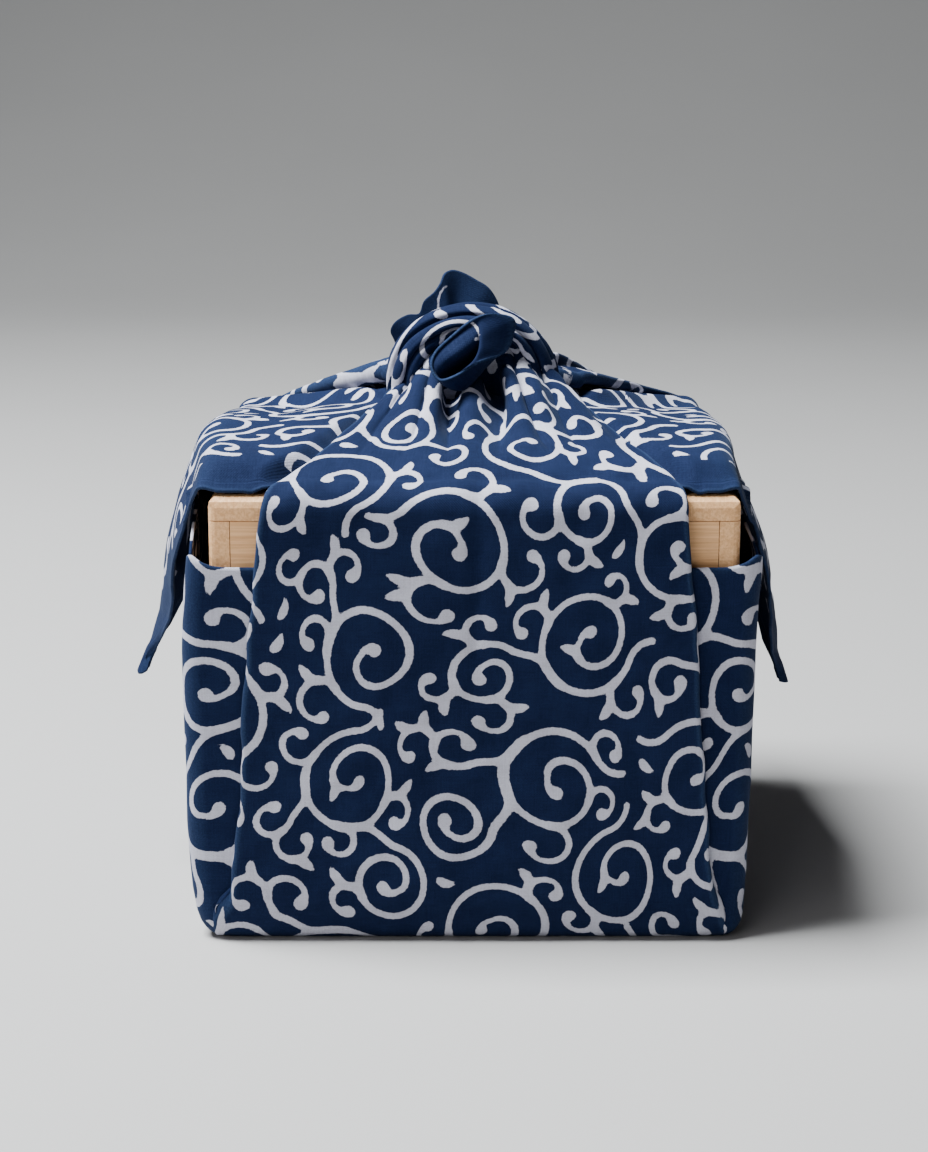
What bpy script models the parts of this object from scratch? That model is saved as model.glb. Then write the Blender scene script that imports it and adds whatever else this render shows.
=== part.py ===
"""Furoshiki wrap: one square cotton cloth folded and knotted round a lidded wooden box.

Metres, +Z up, front at -Y. The origin is on the surface, under the middle of the wrap.
The cloth is one solid, joined from the stretches that one cloth takes: the tub under and
round the box, the flap from tip to tip over the lid, the front and back panels, and the knot.
"""

import math

import bmesh
import bpy
import numpy as np

MM = 0.001

# Box
BOX_HALF = 112.5 * MM
BOX_FOOT = 1.5 * MM
BOX_TOP = 197.0 * MM
BOARD = 9.0 * MM
LID = 10.5 * MM
GAP = 0.3 * MM
EDGE_ROUND = 5.0 * MM
CORNER_ROUND = 3.0 * MM

# Cloth
CLOTH = 1.2 * MM
LAYER = 2.0 * MM  # from the middle of one layer to the middle of the next in a folded edge
TUB_CORNER = 8.5 * MM
RUN_SHARE = 0.9  # share of each side of the tub that runs straight
TUB_FOOT_ROUND = 8.5 * MM
TUB_HALF_X = (118.5 * MM, 122.5 * MM)  # at the foot and at the rim
TUB_HALF_Y = (116.6 * MM, 116.2 * MM)  # at the foot and above it
TUB_RIM = 167.0 * MM
SIDE_TURN = 192.0 * MM  # height at which the side walls turn in over the lid
SIDE_TURN_ROUND = 9.0 * MM
SIDE_REACH = 34.0 * MM
SIDE_RIM_RISE = 5.0 * MM
SIDE_LAP_FOOT = 148.0 * MM
SIDE_LAP_HALF = (105.0 * MM, 74.0 * MM)  # at the rim and over the lid

FLAP_HALF_Y = 114.0 * MM
FLAP_HEM = 200.8 * MM
FLAP_DOME = 13.0 * MM
FLAP_DOME_SPREAD = 16.0 * MM
FLAP_CONE = 11.0 * MM
FLAP_CONE_REACH = 100.0 * MM
FLAP_HANG = 137.0 * MM
FLAP_TAPER = 1.15
FLAP_SLOPE = (math.radians(74.8), math.radians(74.8))  # how steeply the left and right ends hang
FLAP_TURN_ROUND = 14.0 * MM
FLAP_TURN_LEFT = 112.8 * MM
FLAP_TURN_RIGHT = 108.6 * MM
FLAP_TIP_HALF = 5.0 * MM
HANG_BULGE = 1.7
HEM_TURN = 107.5 * MM
HEM_TURN_ROUND = 8.8 * MM
HEM_SLOPE = (math.radians(70.5), math.radians(71.8))
HANG_HOLLOW = 3.0 * MM  # how far the ends hang in above their tips
HANG_HOLLOW_AT = (88.0 * MM, 17.0 * MM)
FLAP_OFF_SIDE = 2.8 * MM
HEM_SHORT = 14.0 * MM  # by how much the hem draws back where a panel covers it
HEM_UNDER = 0.4 * MM
HEM_SLANT = (1.5, 8.0)  # how fast it draws back under the front and the back panel

PANEL_Y = 119.9 * MM
PANEL_FOOT = 3.5 * MM
PANEL_FOOT_TURN = 22.0 * MM
PANEL_FOOT_STEP = 4.7 * MM
PANEL_TURN = 189.8 * MM
PANEL_TURN_ROUND = 13.0 * MM
PANEL_BELLY = 1.5 * MM
PANEL_OVER_FLAP = 6.0 * MM
NECK_Y = 20.0 * MM
HEM_RETURN = 12.0 * MM
PLEAT = 3.2 * MM
PLEAT_WAVES = 2.3  # in each half of the panel
EDGE_ROLL = (4.5 * MM, 1.5 * MM)  # growth of the back panel's left and right edge folds at the knot
SECOND_ROLL = 9.0 * MM

KNOT_TOP = 266.0 * MM
CORE = (31.0 * MM, 22.0 * MM, 23.0 * MM)
CORE_MIDDLE = (-1.0 * MM, -2.0 * MM, 233.0 * MM)
ARCH_HALF_SPAN = 31.5 * MM
ARCH_FOOT = 220.0 * MM
ARCH_THICK = 7.0 * MM
ARCH_HALF_WIDTH = 14.0 * MM
TAIL_ROOT = (15.0 * MM, -19.0 * MM, 254.0 * MM)  # where the front end leaves the knot
TAIL_MOUTH = (-9.3 * MM, -41.0 * MM, 249.5 * MM)
TAIL_SWELL = 0.6
TAIL_SAG = 5.5 * MM
FAN_ROOT = (-5.0 * MM, 4.0 * MM, 239.0 * MM)

MERGE = 0.00001
PROBE = 0.4 * MM

PART = bpy.data.collections.new("furoshiki_wrap")
HELPERS = bpy.data.collections.new("helpers")


def clear_scene():
    for old in list(bpy.data.objects):
        bpy.data.objects.remove(old, do_unlink=True)
    for made in (PART, HELPERS):
        bpy.context.scene.collection.children.link(made)


def material(name, colour, roughness):
    made = bpy.data.materials.new(name)
    made.use_nodes = True
    shader = made.node_tree.nodes["Principled BSDF"]
    shader.inputs["Base Color"].default_value = (*colour, 1.0)
    shader.inputs["Roughness"].default_value = roughness
    shader.inputs["Metallic"].default_value = 0.0
    return made


def smooth(start, end, value):
    share = np.clip((value - start) / (end - start), 0.0, 1.0)
    return share * share * (3.0 - 2.0 * share)


def bump(middle, width, value):
    return np.exp(-(((value - middle) / width) ** 2))


def mesh_object(name, shell, collection):
    mesh = bpy.data.meshes.new(name)
    shell.to_mesh(mesh)
    shell.free()
    made = bpy.data.objects.new(name, mesh)
    collection.objects.link(made)
    return made


def mapped_grid(name, place, across, along, closed=False):
    """A grid whose columns stand at `across` and rows at `along`, bent by place(across, along)."""
    shell = bmesh.new()
    bmesh.ops.create_grid(shell, x_segments=len(across) - 1, y_segments=len(along) - 1, size=0.5)
    column = np.array([round((v.co.x + 0.5) * (len(across) - 1)) for v in shell.verts])
    row = np.array([round((v.co.y + 0.5) * (len(along) - 1)) for v in shell.verts])
    points = place(np.asarray(across)[column], np.asarray(along)[row])
    for vert, point in zip(shell.verts, points):
        vert.co = point
    if closed:
        bmesh.ops.remove_doubles(shell, verts=shell.verts, dist=MERGE)
    bmesh.ops.triangulate(shell, faces=shell.faces, quad_method="SHORT_EDGE")
    return mesh_object(name, shell, HELPERS)


def as_cloth(sheet, offset=-1.0):
    thickness = sheet.modifiers.new("cloth", "SOLIDIFY")
    thickness.thickness = CLOTH
    thickness.offset = offset
    thickness.use_even_offset = False
    return sheet


# Tub: the cloth under the box and up its four walls


def ring(around, half_x, half_y, corner):
    """A point on a rounded rectangle. `around` runs 0 to 4, one side and its corner for each unit."""
    side = np.floor(around).astype(int) % 4
    local = around - np.floor(around)
    run = np.clip(local / RUN_SHARE, 0.0, 1.0)
    turn = np.clip((local - RUN_SHARE) / (1.0 - RUN_SHARE), 0.0, 1.0) * math.pi / 2
    straight_x, straight_y = half_x - corner, half_y - corner
    reach = np.where(side % 2 == 0, straight_x, straight_y)
    depth = np.where(side % 2 == 0, straight_y, straight_x)
    u = (2 * run - 1) * reach + corner * np.sin(turn)
    w = -(depth + corner * np.cos(turn))
    angle = side * math.pi / 2
    return u * np.cos(angle) - w * np.sin(angle), u * np.sin(angle) + w * np.cos(angle)


def tub_point(around, share):
    """share: 0 in the middle of the base, 1 where the foot starts to turn, 2 at its end, 3 at the rim."""
    base = np.clip(share, 0.0, 1.0)
    turn = np.clip(share - 1.0, 0.0, 1.0) * math.pi / 2
    side = np.floor(around).astype(int) % 4
    local = (around - np.floor(around)) / RUN_SHARE
    past_corner = smooth(1.0, 1.0 / RUN_SHARE, local)
    rim = TUB_RIM + SIDE_RIM_RISE * np.where(side % 2 == 1, 1.0 - past_corner, past_corner)
    climb = np.clip(share - 2.0, 0.0, 1.0) * (rim - TUB_FOOT_ROUND)
    height = TUB_FOOT_ROUND + climb
    half_x = side_wall_x(height)
    half_y = TUB_HALF_Y[0] + (TUB_HALF_Y[1] - TUB_HALF_Y[0]) * smooth(10 * MM, 20 * MM, height)
    inset = TUB_FOOT_ROUND * (1.0 - np.sin(turn))
    corner = np.maximum(TUB_CORNER - inset, 0.6 * MM)
    x, y = ring(around, (half_x - inset) * base, (half_y - inset) * base, corner * base)
    z = climb + TUB_FOOT_ROUND * (1 - np.cos(turn))
    return np.stack([x, y, z], axis=1)


def side_wall_x(height):
    lean = smooth(TUB_FOOT_ROUND, 140.0 * MM, height)
    return TUB_HALF_X[0] + (TUB_HALF_X[1] - TUB_HALF_X[0]) * lean


def side_lap_point(across, path, sign):
    """A side wall's cloth on its way up from the rim, in over the lid and into the flap.
    path: distance from where the lap leaves the wall's own thickness."""
    height = SIDE_LAP_FOOT + path
    over = np.maximum(height - SIDE_TURN, 0.0)
    turn = np.clip(over / SIDE_TURN_ROUND, 0.0, math.pi / 2)
    inward = np.maximum(over - SIDE_TURN_ROUND * math.pi / 2, 0.0)
    narrow = smooth(TUB_RIM, SIDE_TURN, height)
    half = SIDE_LAP_HALF[0] + (SIDE_LAP_HALF[1] - SIDE_LAP_HALF[0]) * narrow
    x = side_wall_x(np.minimum(height, SIDE_TURN)) - 0.5 * CLOTH
    x = sign * (x - SIDE_TURN_ROUND * (1 - np.cos(turn)) - inward)
    y = across * half * sign
    z = np.minimum(height, SIDE_TURN) + SIDE_TURN_ROUND * np.sin(turn)
    meet = (inward / SIDE_REACH) ** 1.5
    z = z + (flap_height(x, y) - 0.5 * CLOTH - z) * meet
    return np.stack([x, y, z], axis=1)


# Flap: from the left tip over the lid to the right tip


def panel_edge(side, from_middle, back):
    """Half width of a panel on top, at this distance from the middle of the wrap."""
    d = from_middle / MM
    if back:
        left = 39 + 0.766 * np.maximum(d - 22, -15)
        right = 45 + 0.73 * np.maximum(d - 15, -8)
        return np.where(side < 0, np.minimum(left, 105), np.minimum(right, 106)) * MM
    left = 35 + 0.37 * d + 11 * smooth(85, 118, d)
    right = 40 + 0.42 * d + 3 * smooth(85, 118, d)
    return np.where(side < 0, left, right) * MM


def panel_crown(x, y):
    """Height of a panel's upper face on top of the wrap, without pleats and rolls."""
    inward = np.maximum(PANEL_Y - PANEL_TURN_ROUND - np.abs(y), 0.0)
    share = inward / (PANEL_Y - PANEL_TURN_ROUND - NECK_Y)
    rise = 12.5 * MM * (1.0 - np.exp(-inward / (22 * MM))) + 9.0 * MM * share**1.5
    edge = panel_edge(x, np.abs(y), False)
    fall = 5.0 * MM * (x / edge) ** 2 * share
    return PANEL_TURN + PANEL_TURN_ROUND + rise - np.minimum(fall, 9.0 * MM)


def flap_height(x, y):
    """Height of the flap's upper face on the lid: a puffed dome, pressed down under the panels."""
    from_hem = np.maximum(FLAP_HALF_Y - np.abs(y), 0.0)
    free = FLAP_HEM + FLAP_DOME * (1.0 - np.exp(-from_hem / FLAP_DOME_SPREAD))
    near = np.clip(1.0 - np.hypot(x, y) / FLAP_CONE_REACH, 0.0, 1.0)
    free = free + FLAP_CONE * near**1.2
    edge = np.where(y < 0, panel_edge(x, np.abs(y), False), panel_edge(x, np.abs(y), True))
    outside = np.abs(x) - edge
    press = 1.0 - smooth(3.0 * MM, 13.0 * MM, outside)
    pressed = np.clip(panel_crown(x, y) - PANEL_OVER_FLAP, FLAP_HEM, free)
    return free + (pressed - free) * press


def flap_point(along, across):
    """along: signed distance over the lid from the middle; across: -1 front hem to 1 back hem.
    The two ends hang as bulged triangles, whose hems turn down closer to the box."""
    left = along < 0
    hem = 1.0 - np.exp(-((HANG_BULGE * across) ** 2))
    turn_at = np.where(left, FLAP_TURN_LEFT, FLAP_TURN_RIGHT)
    turn_at = turn_at + (HEM_TURN - turn_at) * hem
    radius = FLAP_TURN_ROUND + (HEM_TURN_ROUND - FLAP_TURN_ROUND) * hem
    middle_slope, hem_slope = np.where(left, *FLAP_SLOPE), np.where(left, *HEM_SLOPE)
    slope = middle_slope + (hem_slope - middle_slope) * hem
    drop = np.maximum(np.abs(along) - turn_at, 0.0)
    on_lid = np.minimum(np.abs(along), turn_at)
    angle = np.minimum(drop / radius, slope)
    straight = np.maximum(drop - radius * slope, 0.0)
    out = radius * np.sin(angle) + straight * np.cos(slope) - HANG_HOLLOW * bump(*HANG_HOLLOW_AT, drop)
    down = radius * (1 - np.cos(angle)) + straight * np.sin(slope)
    half = np.maximum(FLAP_HALF_Y * (1.0 - (drop / FLAP_HANG) ** FLAP_TAPER), FLAP_TIP_HALF)
    x = np.where(left, -1.0, 1.0) * on_lid
    front = across < 0
    edge = panel_edge(x, FLAP_HALF_Y, False) * front + panel_edge(x, FLAP_HALF_Y, True) * (1 - front)
    slant = np.where(front, *HEM_SLANT)
    short = np.clip((edge + HEM_UNDER - on_lid - out) * slant, 0.0, HEM_SHORT)
    y = across * (half - short * smooth(0.8, 1.0, np.abs(across)))
    z = flap_height(x, y) - down
    guard = np.maximum(smooth(TUB_RIM + 10 * MM, TUB_RIM + 5 * MM, z), smooth(104 * MM, 88 * MM, np.abs(y)))
    clear = (side_wall_x(z) + FLAP_OFF_SIDE) * smooth(FLAP_HEM, FLAP_HEM - 8 * MM, z) * guard
    x = np.where(left, -1.0, 1.0) * np.maximum(on_lid + out, clear)
    return np.stack([x, y, z], axis=1)


# Panels: up the front and the back, over the lid to the knot


def panel_face(across, path, back, dressed=True):
    """Outer face. across -1 to 1, left edge to right edge; path from the foot up and over.
    dressed adds the pleats at the knot and, on the back panel, the puffed rolls."""
    turn_start = PANEL_TURN - PANEL_FOOT
    turn_end = turn_start + PANEL_TURN_ROUND * math.pi / 2
    height = PANEL_FOOT + np.minimum(path, turn_start)
    angle = np.clip((path - turn_start) / PANEL_TURN_ROUND, 0.0, math.pi / 2)
    inward = np.maximum(path - turn_end, 0.0)
    foot = np.clip((PANEL_FOOT_TURN - height) / (PANEL_FOOT_TURN - PANEL_FOOT), 0.0, 1.0)
    belly = PANEL_BELLY * np.sin(math.pi * height / PANEL_TURN) * (1 - across**2)
    depth = PANEL_Y - PANEL_FOOT_STEP * foot**2 + belly
    depth = depth - PANEL_TURN_ROUND * (1 - np.cos(angle)) - inward
    wall_share = (PANEL_TURN - height) / PANEL_TURN
    if back:
        low_left, low_right = 107 * MM, 108 * MM
    else:
        low_left, low_right = 107 * MM, 111 * MM
    top_edge = panel_edge(across, np.maximum(depth, 0.0), back)
    low_edge = np.where(across < 0, low_left, low_right)
    edge = top_edge + (low_edge - top_edge) * wall_share**1.1
    x = across * edge
    on_top = panel_crown(x, depth)
    z = np.where(inward > 0, on_top, height + PANEL_TURN_ROUND * np.sin(angle))
    share = inward / (PANEL_Y - PANEL_TURN_ROUND - NECK_Y)
    if dressed:
        waves = np.cos(2 * math.pi * (PLEAT_WAVES * across + 0.12 * np.sin(3.0 * across)) + 0.5)
        flat_edge = 1.0 - smooth(0.55, 0.85, np.abs(across))
        z = z + PLEAT * smooth(0.15, 1.0, share) * waves * flat_edge
    if dressed and back:
        z = z + 2.0 * roll_growth(across, path) * smooth(0.5, 0.92, np.abs(across))
        z = z + SECOND_ROLL * np.clip(share, 0.0, 1.0) * bump(0.72, 0.13, across)
    past_neck = np.maximum(share - 1.0, 0.0) * (PANEL_Y - PANEL_TURN_ROUND - NECK_Y)
    z = z + past_neck * 1.2
    x = x * (1 - 0.3 * smooth(0.0, 14 * MM, past_neck))
    return np.stack([x, depth * (1 if back else -1), z], axis=1)


def roll_growth(across, path):
    """By how much the back panel's folded edges fatten towards the knot."""
    turn_end = PANEL_TURN - PANEL_FOOT + PANEL_TURN_ROUND * math.pi / 2
    share = np.clip((path - turn_end) / (PANEL_Y - PANEL_TURN_ROUND - NECK_Y), 0.0, 1.0)
    return np.where(across < 0, EDGE_ROLL[0], EDGE_ROLL[1]) * share


def panel_point(across, path, back):
    """The panel with its side edges folded under. Beyond 1 or -1, `across` follows the fold:
    one unit for the turn, then one for the return under the panel."""
    sign = np.where(across < 0, -1.0, 1.0)
    beyond = np.maximum(np.abs(across) - 1.0, 0.0)
    turn = np.minimum(beyond, 1.0) * math.pi
    near_knot = smooth(PANEL_TURN, PANEL_TURN + PANEL_Y, path)
    returned = np.maximum(beyond - 1.0, 0.0) * HEM_RETURN * (1 - 0.6 * near_knot)
    at = path + 6.5 * MM * (1 - np.cos(turn)) * (1 - smooth(0.0, 40 * MM, path))
    outer = panel_face(np.clip(across, -1.0, 1.0), at, back)
    half = np.abs(panel_face(sign, at, back)[:, 0])
    face = sign * (1.0 - returned / half)
    inner = panel_face(face, at, back, dressed=False)
    along = panel_face(face, at + PROBE, back, False) - panel_face(face, at - PROBE, back, False)
    outward = inner - panel_face(face - 0.02 * sign, at, back, False)
    outward = outward / np.linalg.norm(outward, axis=1, keepdims=True)
    normal = np.cross(along, outward) * (sign * (1 if back else -1))[:, None]
    normal = normal / np.linalg.norm(normal, axis=1, keepdims=True)
    inner = inner - normal * (LAYER + CLOTH)
    radius = 0.5 * np.linalg.norm(outer - inner, axis=1)
    share_out = (0.5 * (1 + np.cos(turn)))[:, None]
    folded = outer * share_out + inner * (1 - share_out)
    folded = folded + outward * (radius * np.sin(turn))[:, None]
    return np.where((beyond > 1.0)[:, None], inner, np.where((beyond > 0.0)[:, None], folded, outer))


# Knot


def arch_point(around, along):
    """The strand that crosses over the knot: a flat fluted band bent in a half ellipse."""
    bend = along * math.pi
    flutes = 1.0 + 0.10 * np.cos(5.0 * around + 0.6)
    radial = ARCH_THICK * flutes * np.cos(around)
    sideways = ARCH_HALF_WIDTH * (0.85 + 0.15 * np.sin(bend)) * flutes * np.sin(around)
    rise = KNOT_TOP - ARCH_THICK - ARCH_FOOT
    x = -(ARCH_HALF_SPAN + radial) * np.cos(bend)
    z = ARCH_FOOT + (rise + radial) * np.sin(bend)
    y = sideways + (-3.0 - 5.0 * np.sin(bend) + 3.0 * np.cos(bend)) * MM
    return np.stack([x, y, z], axis=1)


def front_tail_point(around, along):
    """The front end of the cloth, curled to a horn that opens up and to the front.
    around in radians; along 0 where it leaves the knot, 1 at the mouth."""
    root, mouth = np.array(TAIL_ROOT), np.array(TAIL_MOUTH)
    deep = np.outer(1 - along, (0.0, -8.0, 0.0)) + np.outer(along, (10.0, 3.0, 5.8))
    high = np.outer(1 - along, (0.0, 0.0, 6.0)) + np.outer(along, (-2.0, 6.5, 5.8))
    swell = 1.0 + TAIL_SWELL * np.sin(math.pi * along)
    ring_x = (swell * np.cos(around))[:, None] * deep * MM
    ring_z = (swell * np.sin(around))[:, None] * high * MM
    sag = np.outer(TAIL_SAG * np.sin(math.pi * along**1.5), (0.0, 0.0, 1.0))
    return root + np.outer(along, mouth - root) - sag + ring_x + ring_z


FAN = (  # the edge of the back end: degrees round from +X, millimetres from its root
    (48, 27), (60, 29), (76, 34), (89, 38), (98, 40), (106, 36),
    (124, 32), (135, 28), (146, 33), (157, 36), (166, 34), (178, 31),
)


def back_tail_point(around, along):
    """The back end of the cloth, a fan behind the knot, leaning back and waved at its edge."""
    degrees, reach = np.array(FAN).T
    place = around * (len(FAN) - 1)
    angle = np.radians(np.interp(place, np.arange(len(FAN)), degrees))
    length = np.interp(place, np.arange(len(FAN)), reach) * MM * along
    wave = 4.0 * MM * along * np.sin(2.2 * math.pi * around + 0.4)
    x = FAN_ROOT[0] + length * np.cos(angle)
    z = FAN_ROOT[2] + length * np.sin(angle)
    y = FAN_ROOT[1] + 14.0 * MM * along + wave - 5.0 * MM * along**2
    return np.stack([x, y, z], axis=1)


# Assembly of the cloth


def tub_sheet():
    fine = np.array([0.0, 0.06, 0.15, 0.5, 0.85, 0.94]) * RUN_SHARE
    corner = RUN_SHARE + (1 - RUN_SHARE) * np.array([0.0, 0.33, 0.67])
    around = np.concatenate([side + np.concatenate([fine, corner]) for side in range(4)] + [[4.0]])
    share = [0.0, 1.0, 1.33, 1.67, 2.0, 2.33, 2.66, 2.9, 3.0]
    return as_cloth(mapped_grid("tub", tub_point, around, share, closed=True))


def side_lap_sheet(name, sign):
    across = np.array([-1.0, -0.85, -0.3, 0.3, 0.85, 1.0])
    turn = SIDE_TURN - SIDE_LAP_FOOT
    arc = SIDE_TURN_ROUND * math.pi / 2
    rise = np.array([0.0, 0.45, 0.7, 1.0]) * turn
    path = np.concatenate([rise, turn + arc * np.array([0.33, 0.67, 1.0])])
    path = np.concatenate([path, turn + arc + SIDE_REACH * np.array([0.35, 0.7, 1.0])])
    return as_cloth(mapped_grid(name, lambda s, p: side_lap_point(s, p, sign), across, path))


def flap_sheet():
    left = np.array([110.5, 107.3, 101, 94, 88.2, 84, 79, 72, 62, 50, 36, 18])
    right = np.array([0, 18, 40, 54, 66, 75, 82, 86.5, 91.2, 98, 104, 107.3])
    lid = np.concatenate([-left, right]) * MM
    hang = np.array([2, 5, 9, 13, 18, 35, 65, 88, 105, 122, 137]) * MM
    along = np.concatenate([-FLAP_TURN_LEFT - hang[::-1], lid, FLAP_TURN_RIGHT + hang])
    across = np.array([-1, -0.97, -0.93, -0.86, -0.75, -0.5, -0.25, 0.0])
    across = np.concatenate([across, -across[-2::-1]])
    return as_cloth(mapped_grid("flap", flap_point, along, across))


def panel_sheet(name, back):
    face = np.linspace(-1, 1, 19)
    fold = np.array([0.5, 1.0, 2.0])
    across = np.concatenate([-1 - fold[::-1], face, 1 + fold])
    if back:
        across = across[::-1]
    foot = np.array([0, 5, 11, 19, 75, 130, 176]) * MM
    turn = PANEL_TURN - PANEL_FOOT
    arc = PANEL_TURN_ROUND * math.pi / 2
    top = np.array([9, 22, 38, 55, 72, 87, 96]) * MM
    path = np.concatenate([foot, turn + arc * np.array([0.0, 0.25, 0.5, 0.75, 1.0]), turn + arc + top])
    sheet = mapped_grid(name, lambda s, p: panel_point(s, p, back), across, path)
    return as_cloth(sheet)


def knot_core():
    shell = bmesh.new()
    bmesh.ops.create_uvsphere(shell, u_segments=16, v_segments=8, radius=1.0)
    for vert in shell.verts:
        vert.co = np.array(vert.co) * CORE + CORE_MIDDLE
    return mesh_object("core", shell, HELPERS)


def arch_solid():
    around = np.linspace(0, 2 * math.pi, 17)
    arch = mapped_grid("arch", arch_point, around, np.linspace(0, 1, 13), closed=True)
    shell = bmesh.new()
    shell.from_mesh(arch.data)
    bmesh.ops.holes_fill(shell, edges=[e for e in shell.edges if e.is_boundary])
    bmesh.ops.recalc_face_normals(shell, faces=shell.faces)
    shell.to_mesh(arch.data)
    shell.free()
    return arch


def front_tail_sheet():
    around = np.linspace(0, 2 * math.pi, 15)
    along = np.linspace(0, 1, 7)
    return as_cloth(mapped_grid("front_tail", front_tail_point, around, along, closed=True), 0.0)


def back_tail_sheet():
    around = np.linspace(0, 1, len(FAN))
    return as_cloth(mapped_grid("back_tail", back_tail_point, around, np.linspace(0.1, 1, 5)), 0.0)


def furoshiki():
    cloth = tub_sheet()
    HELPERS.objects.unlink(cloth)
    PART.objects.link(cloth)
    cloth.name = "furoshiki"
    cloth.data.materials.append(material("indigo_cotton", (0.012, 0.03, 0.10), 0.85))
    stretches = [
        side_lap_sheet("left_lap", -1),
        side_lap_sheet("right_lap", 1),
        flap_sheet(),
        panel_sheet("front_panel", back=False),
        panel_sheet("back_panel", back=True),
        knot_core(),
        arch_solid(),
        front_tail_sheet(),
        back_tail_sheet(),
    ]
    for stretch in stretches:
        stretch.hide_render = True
        stretch.display_type = "WIRE"
        join = cloth.modifiers.new(stretch.name, "BOOLEAN")
        join.operation = "UNION"
        join.solver = "EXACT"
        join.object = stretch


# Box


def board(name, low, high, wood, rounded):
    """A board between two corners; rounded(edge) says how far that edge is eased, or 0."""
    shell = bmesh.new()
    bmesh.ops.create_cube(shell, size=1.0)
    low, high = np.array(low), np.array(high)
    for vert in shell.verts:
        vert.co = (low + high) / 2 + np.array(vert.co) * (high - low)
    for width in (EDGE_ROUND, CORNER_ROUND):
        edges = [e for e in shell.edges if rounded(e) == width]
        if edges:
            bmesh.ops.bevel(shell, geom=edges, offset=width, segments=3, profile=0.5, affect="EDGES")
    made = mesh_object(name, shell, PART)
    made.data.materials.append(wood)
    return made


def box_edge(edge):
    """The outer edges of the closed box: all round the top and the foot, and its four corners."""
    ends = [v.co for v in edge.verts]
    outer = BOX_HALF - MERGE
    at_corner = all(abs(c.x) > outer and abs(c.y) > outer for c in ends)
    level = abs(ends[0].z - ends[1].z) < MERGE
    at_side = all(abs(c.x) > outer for c in ends) or all(abs(c.y) > outer for c in ends)
    at_end = all(c.z < BOX_FOOT + MERGE for c in ends) or all(c.z > BOX_TOP - MERGE for c in ends)
    if level and at_side and at_end:
        return EDGE_ROUND
    return CORNER_ROUND if at_corner and not level else 0


def wooden_box():
    wood = material("pale_wood", (0.62, 0.47, 0.33), 0.6)
    inner = BOX_HALF - BOARD
    rim = BOX_TOP - LID - GAP
    for name, sign in (("box_side_left", -1), ("box_side_right", 1)):
        xs = sorted((sign * inner, sign * BOX_HALF))
        board(name, (xs[0], -BOX_HALF, BOX_FOOT), (xs[1], BOX_HALF, rim), wood, box_edge)
    end = inner - GAP
    for name, sign in (("box_front", -1), ("box_back", 1)):
        ys = sorted((sign * inner, sign * BOX_HALF))
        board(name, (-end, ys[0], BOX_FOOT), (end, ys[1], rim), wood, box_edge)
    board("box_bottom", (-end, -end, BOX_FOOT), (end, end, BOX_FOOT + BOARD), wood, box_edge)
    lid_low, lid_high = (-BOX_HALF, -BOX_HALF, BOX_TOP - LID), (BOX_HALF, BOX_HALF, BOX_TOP)
    board("box_lid", lid_low, lid_high, wood, box_edge)


clear_scene()
wooden_box()
furoshiki()
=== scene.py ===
"""Furoshiki wrap: the cloth with its scrolling vine print, its folds and its knot, and the box."""

import math

import bpy
import numpy as np
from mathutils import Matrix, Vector


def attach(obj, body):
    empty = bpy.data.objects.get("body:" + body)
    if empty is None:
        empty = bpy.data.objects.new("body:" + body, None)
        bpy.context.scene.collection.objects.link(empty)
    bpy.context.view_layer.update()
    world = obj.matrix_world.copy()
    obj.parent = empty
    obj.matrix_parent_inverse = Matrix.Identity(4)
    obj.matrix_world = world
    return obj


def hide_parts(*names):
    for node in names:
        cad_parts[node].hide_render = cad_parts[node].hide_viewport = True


MM = 0.001

# Camera

CAMERA_AT = (-0.0044159, -1.1034975, 0.3914857)
CAMERA_TILT = math.radians(77.0)
LENS_MM = 75.0
SENSOR_MM = 36.0

# Cloth and tub. Pairs are left and right, or low and high, unless a comment says otherwise.

CLOTH = 1.2 * MM
LAYER = 2.0 * MM
TUB_CORNER = 8.5 * MM
TUB_CORNER_LEAST = 0.6 * MM
RUN_SHARE = 0.9  # how much of one side's step round the tub is straight; the rest is its corner
TUB_FOOT_ROUND = 8.5 * MM
TUB_HALF_X = (118.5 * MM, 122.5 * MM)
TUB_LEAN_TOP = 140.0 * MM
TUB_HALF_Y = (116.6 * MM, 116.2 * MM)
TUB_LEAN_Y = (10 * MM, 20 * MM)
TUB_RIM = 167.0 * MM
SIDE_TURN = 192.0 * MM
SIDE_TURN_ROUND = 9.0 * MM
SIDE_REACH = 34.0 * MM
SIDE_RIM_RISE = 5.0 * MM
SIDE_LAP_FOOT = 148.0 * MM
SIDE_LAP_HALF = (105.0 * MM, 74.0 * MM)
RIGHT_LAP_IN = 5.5 * MM
RIGHT_LAP_TOP = 187.0 * MM

# Flap over the lid, with its two hanging ends

FLAP_HALF_Y = 114.0 * MM
FLAP_HEM = 200.8 * MM
FLAP_DOME = 13.0 * MM
FLAP_DOME_SPREAD = 16.0 * MM
FLAP_BACK_FALL = 7.0 * MM
FLAP_BACK_FALL_AT = (-20.0 * MM, 100.0 * MM)
FLAP_CONE = 11.0 * MM
FLAP_CONE_REACH = 100.0 * MM
FLAP_PRESSED = (3.0 * MM, 13.0 * MM)  # how far outside a panel's edge the panel still presses it
FLAP_HANG = 137.0 * MM
FLAP_TAPER = 1.15
FLAP_SLOPE = math.radians(74.8)
FLAP_TURN_ROUND = 14.0 * MM
FLAP_TURN_LEFT = 112.8 * MM
FLAP_TURN_RIGHT = 108.6 * MM
FLAP_TIP_HALF = 5.0 * MM
FLAP_OFF_SIDE = 2.8 * MM
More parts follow.
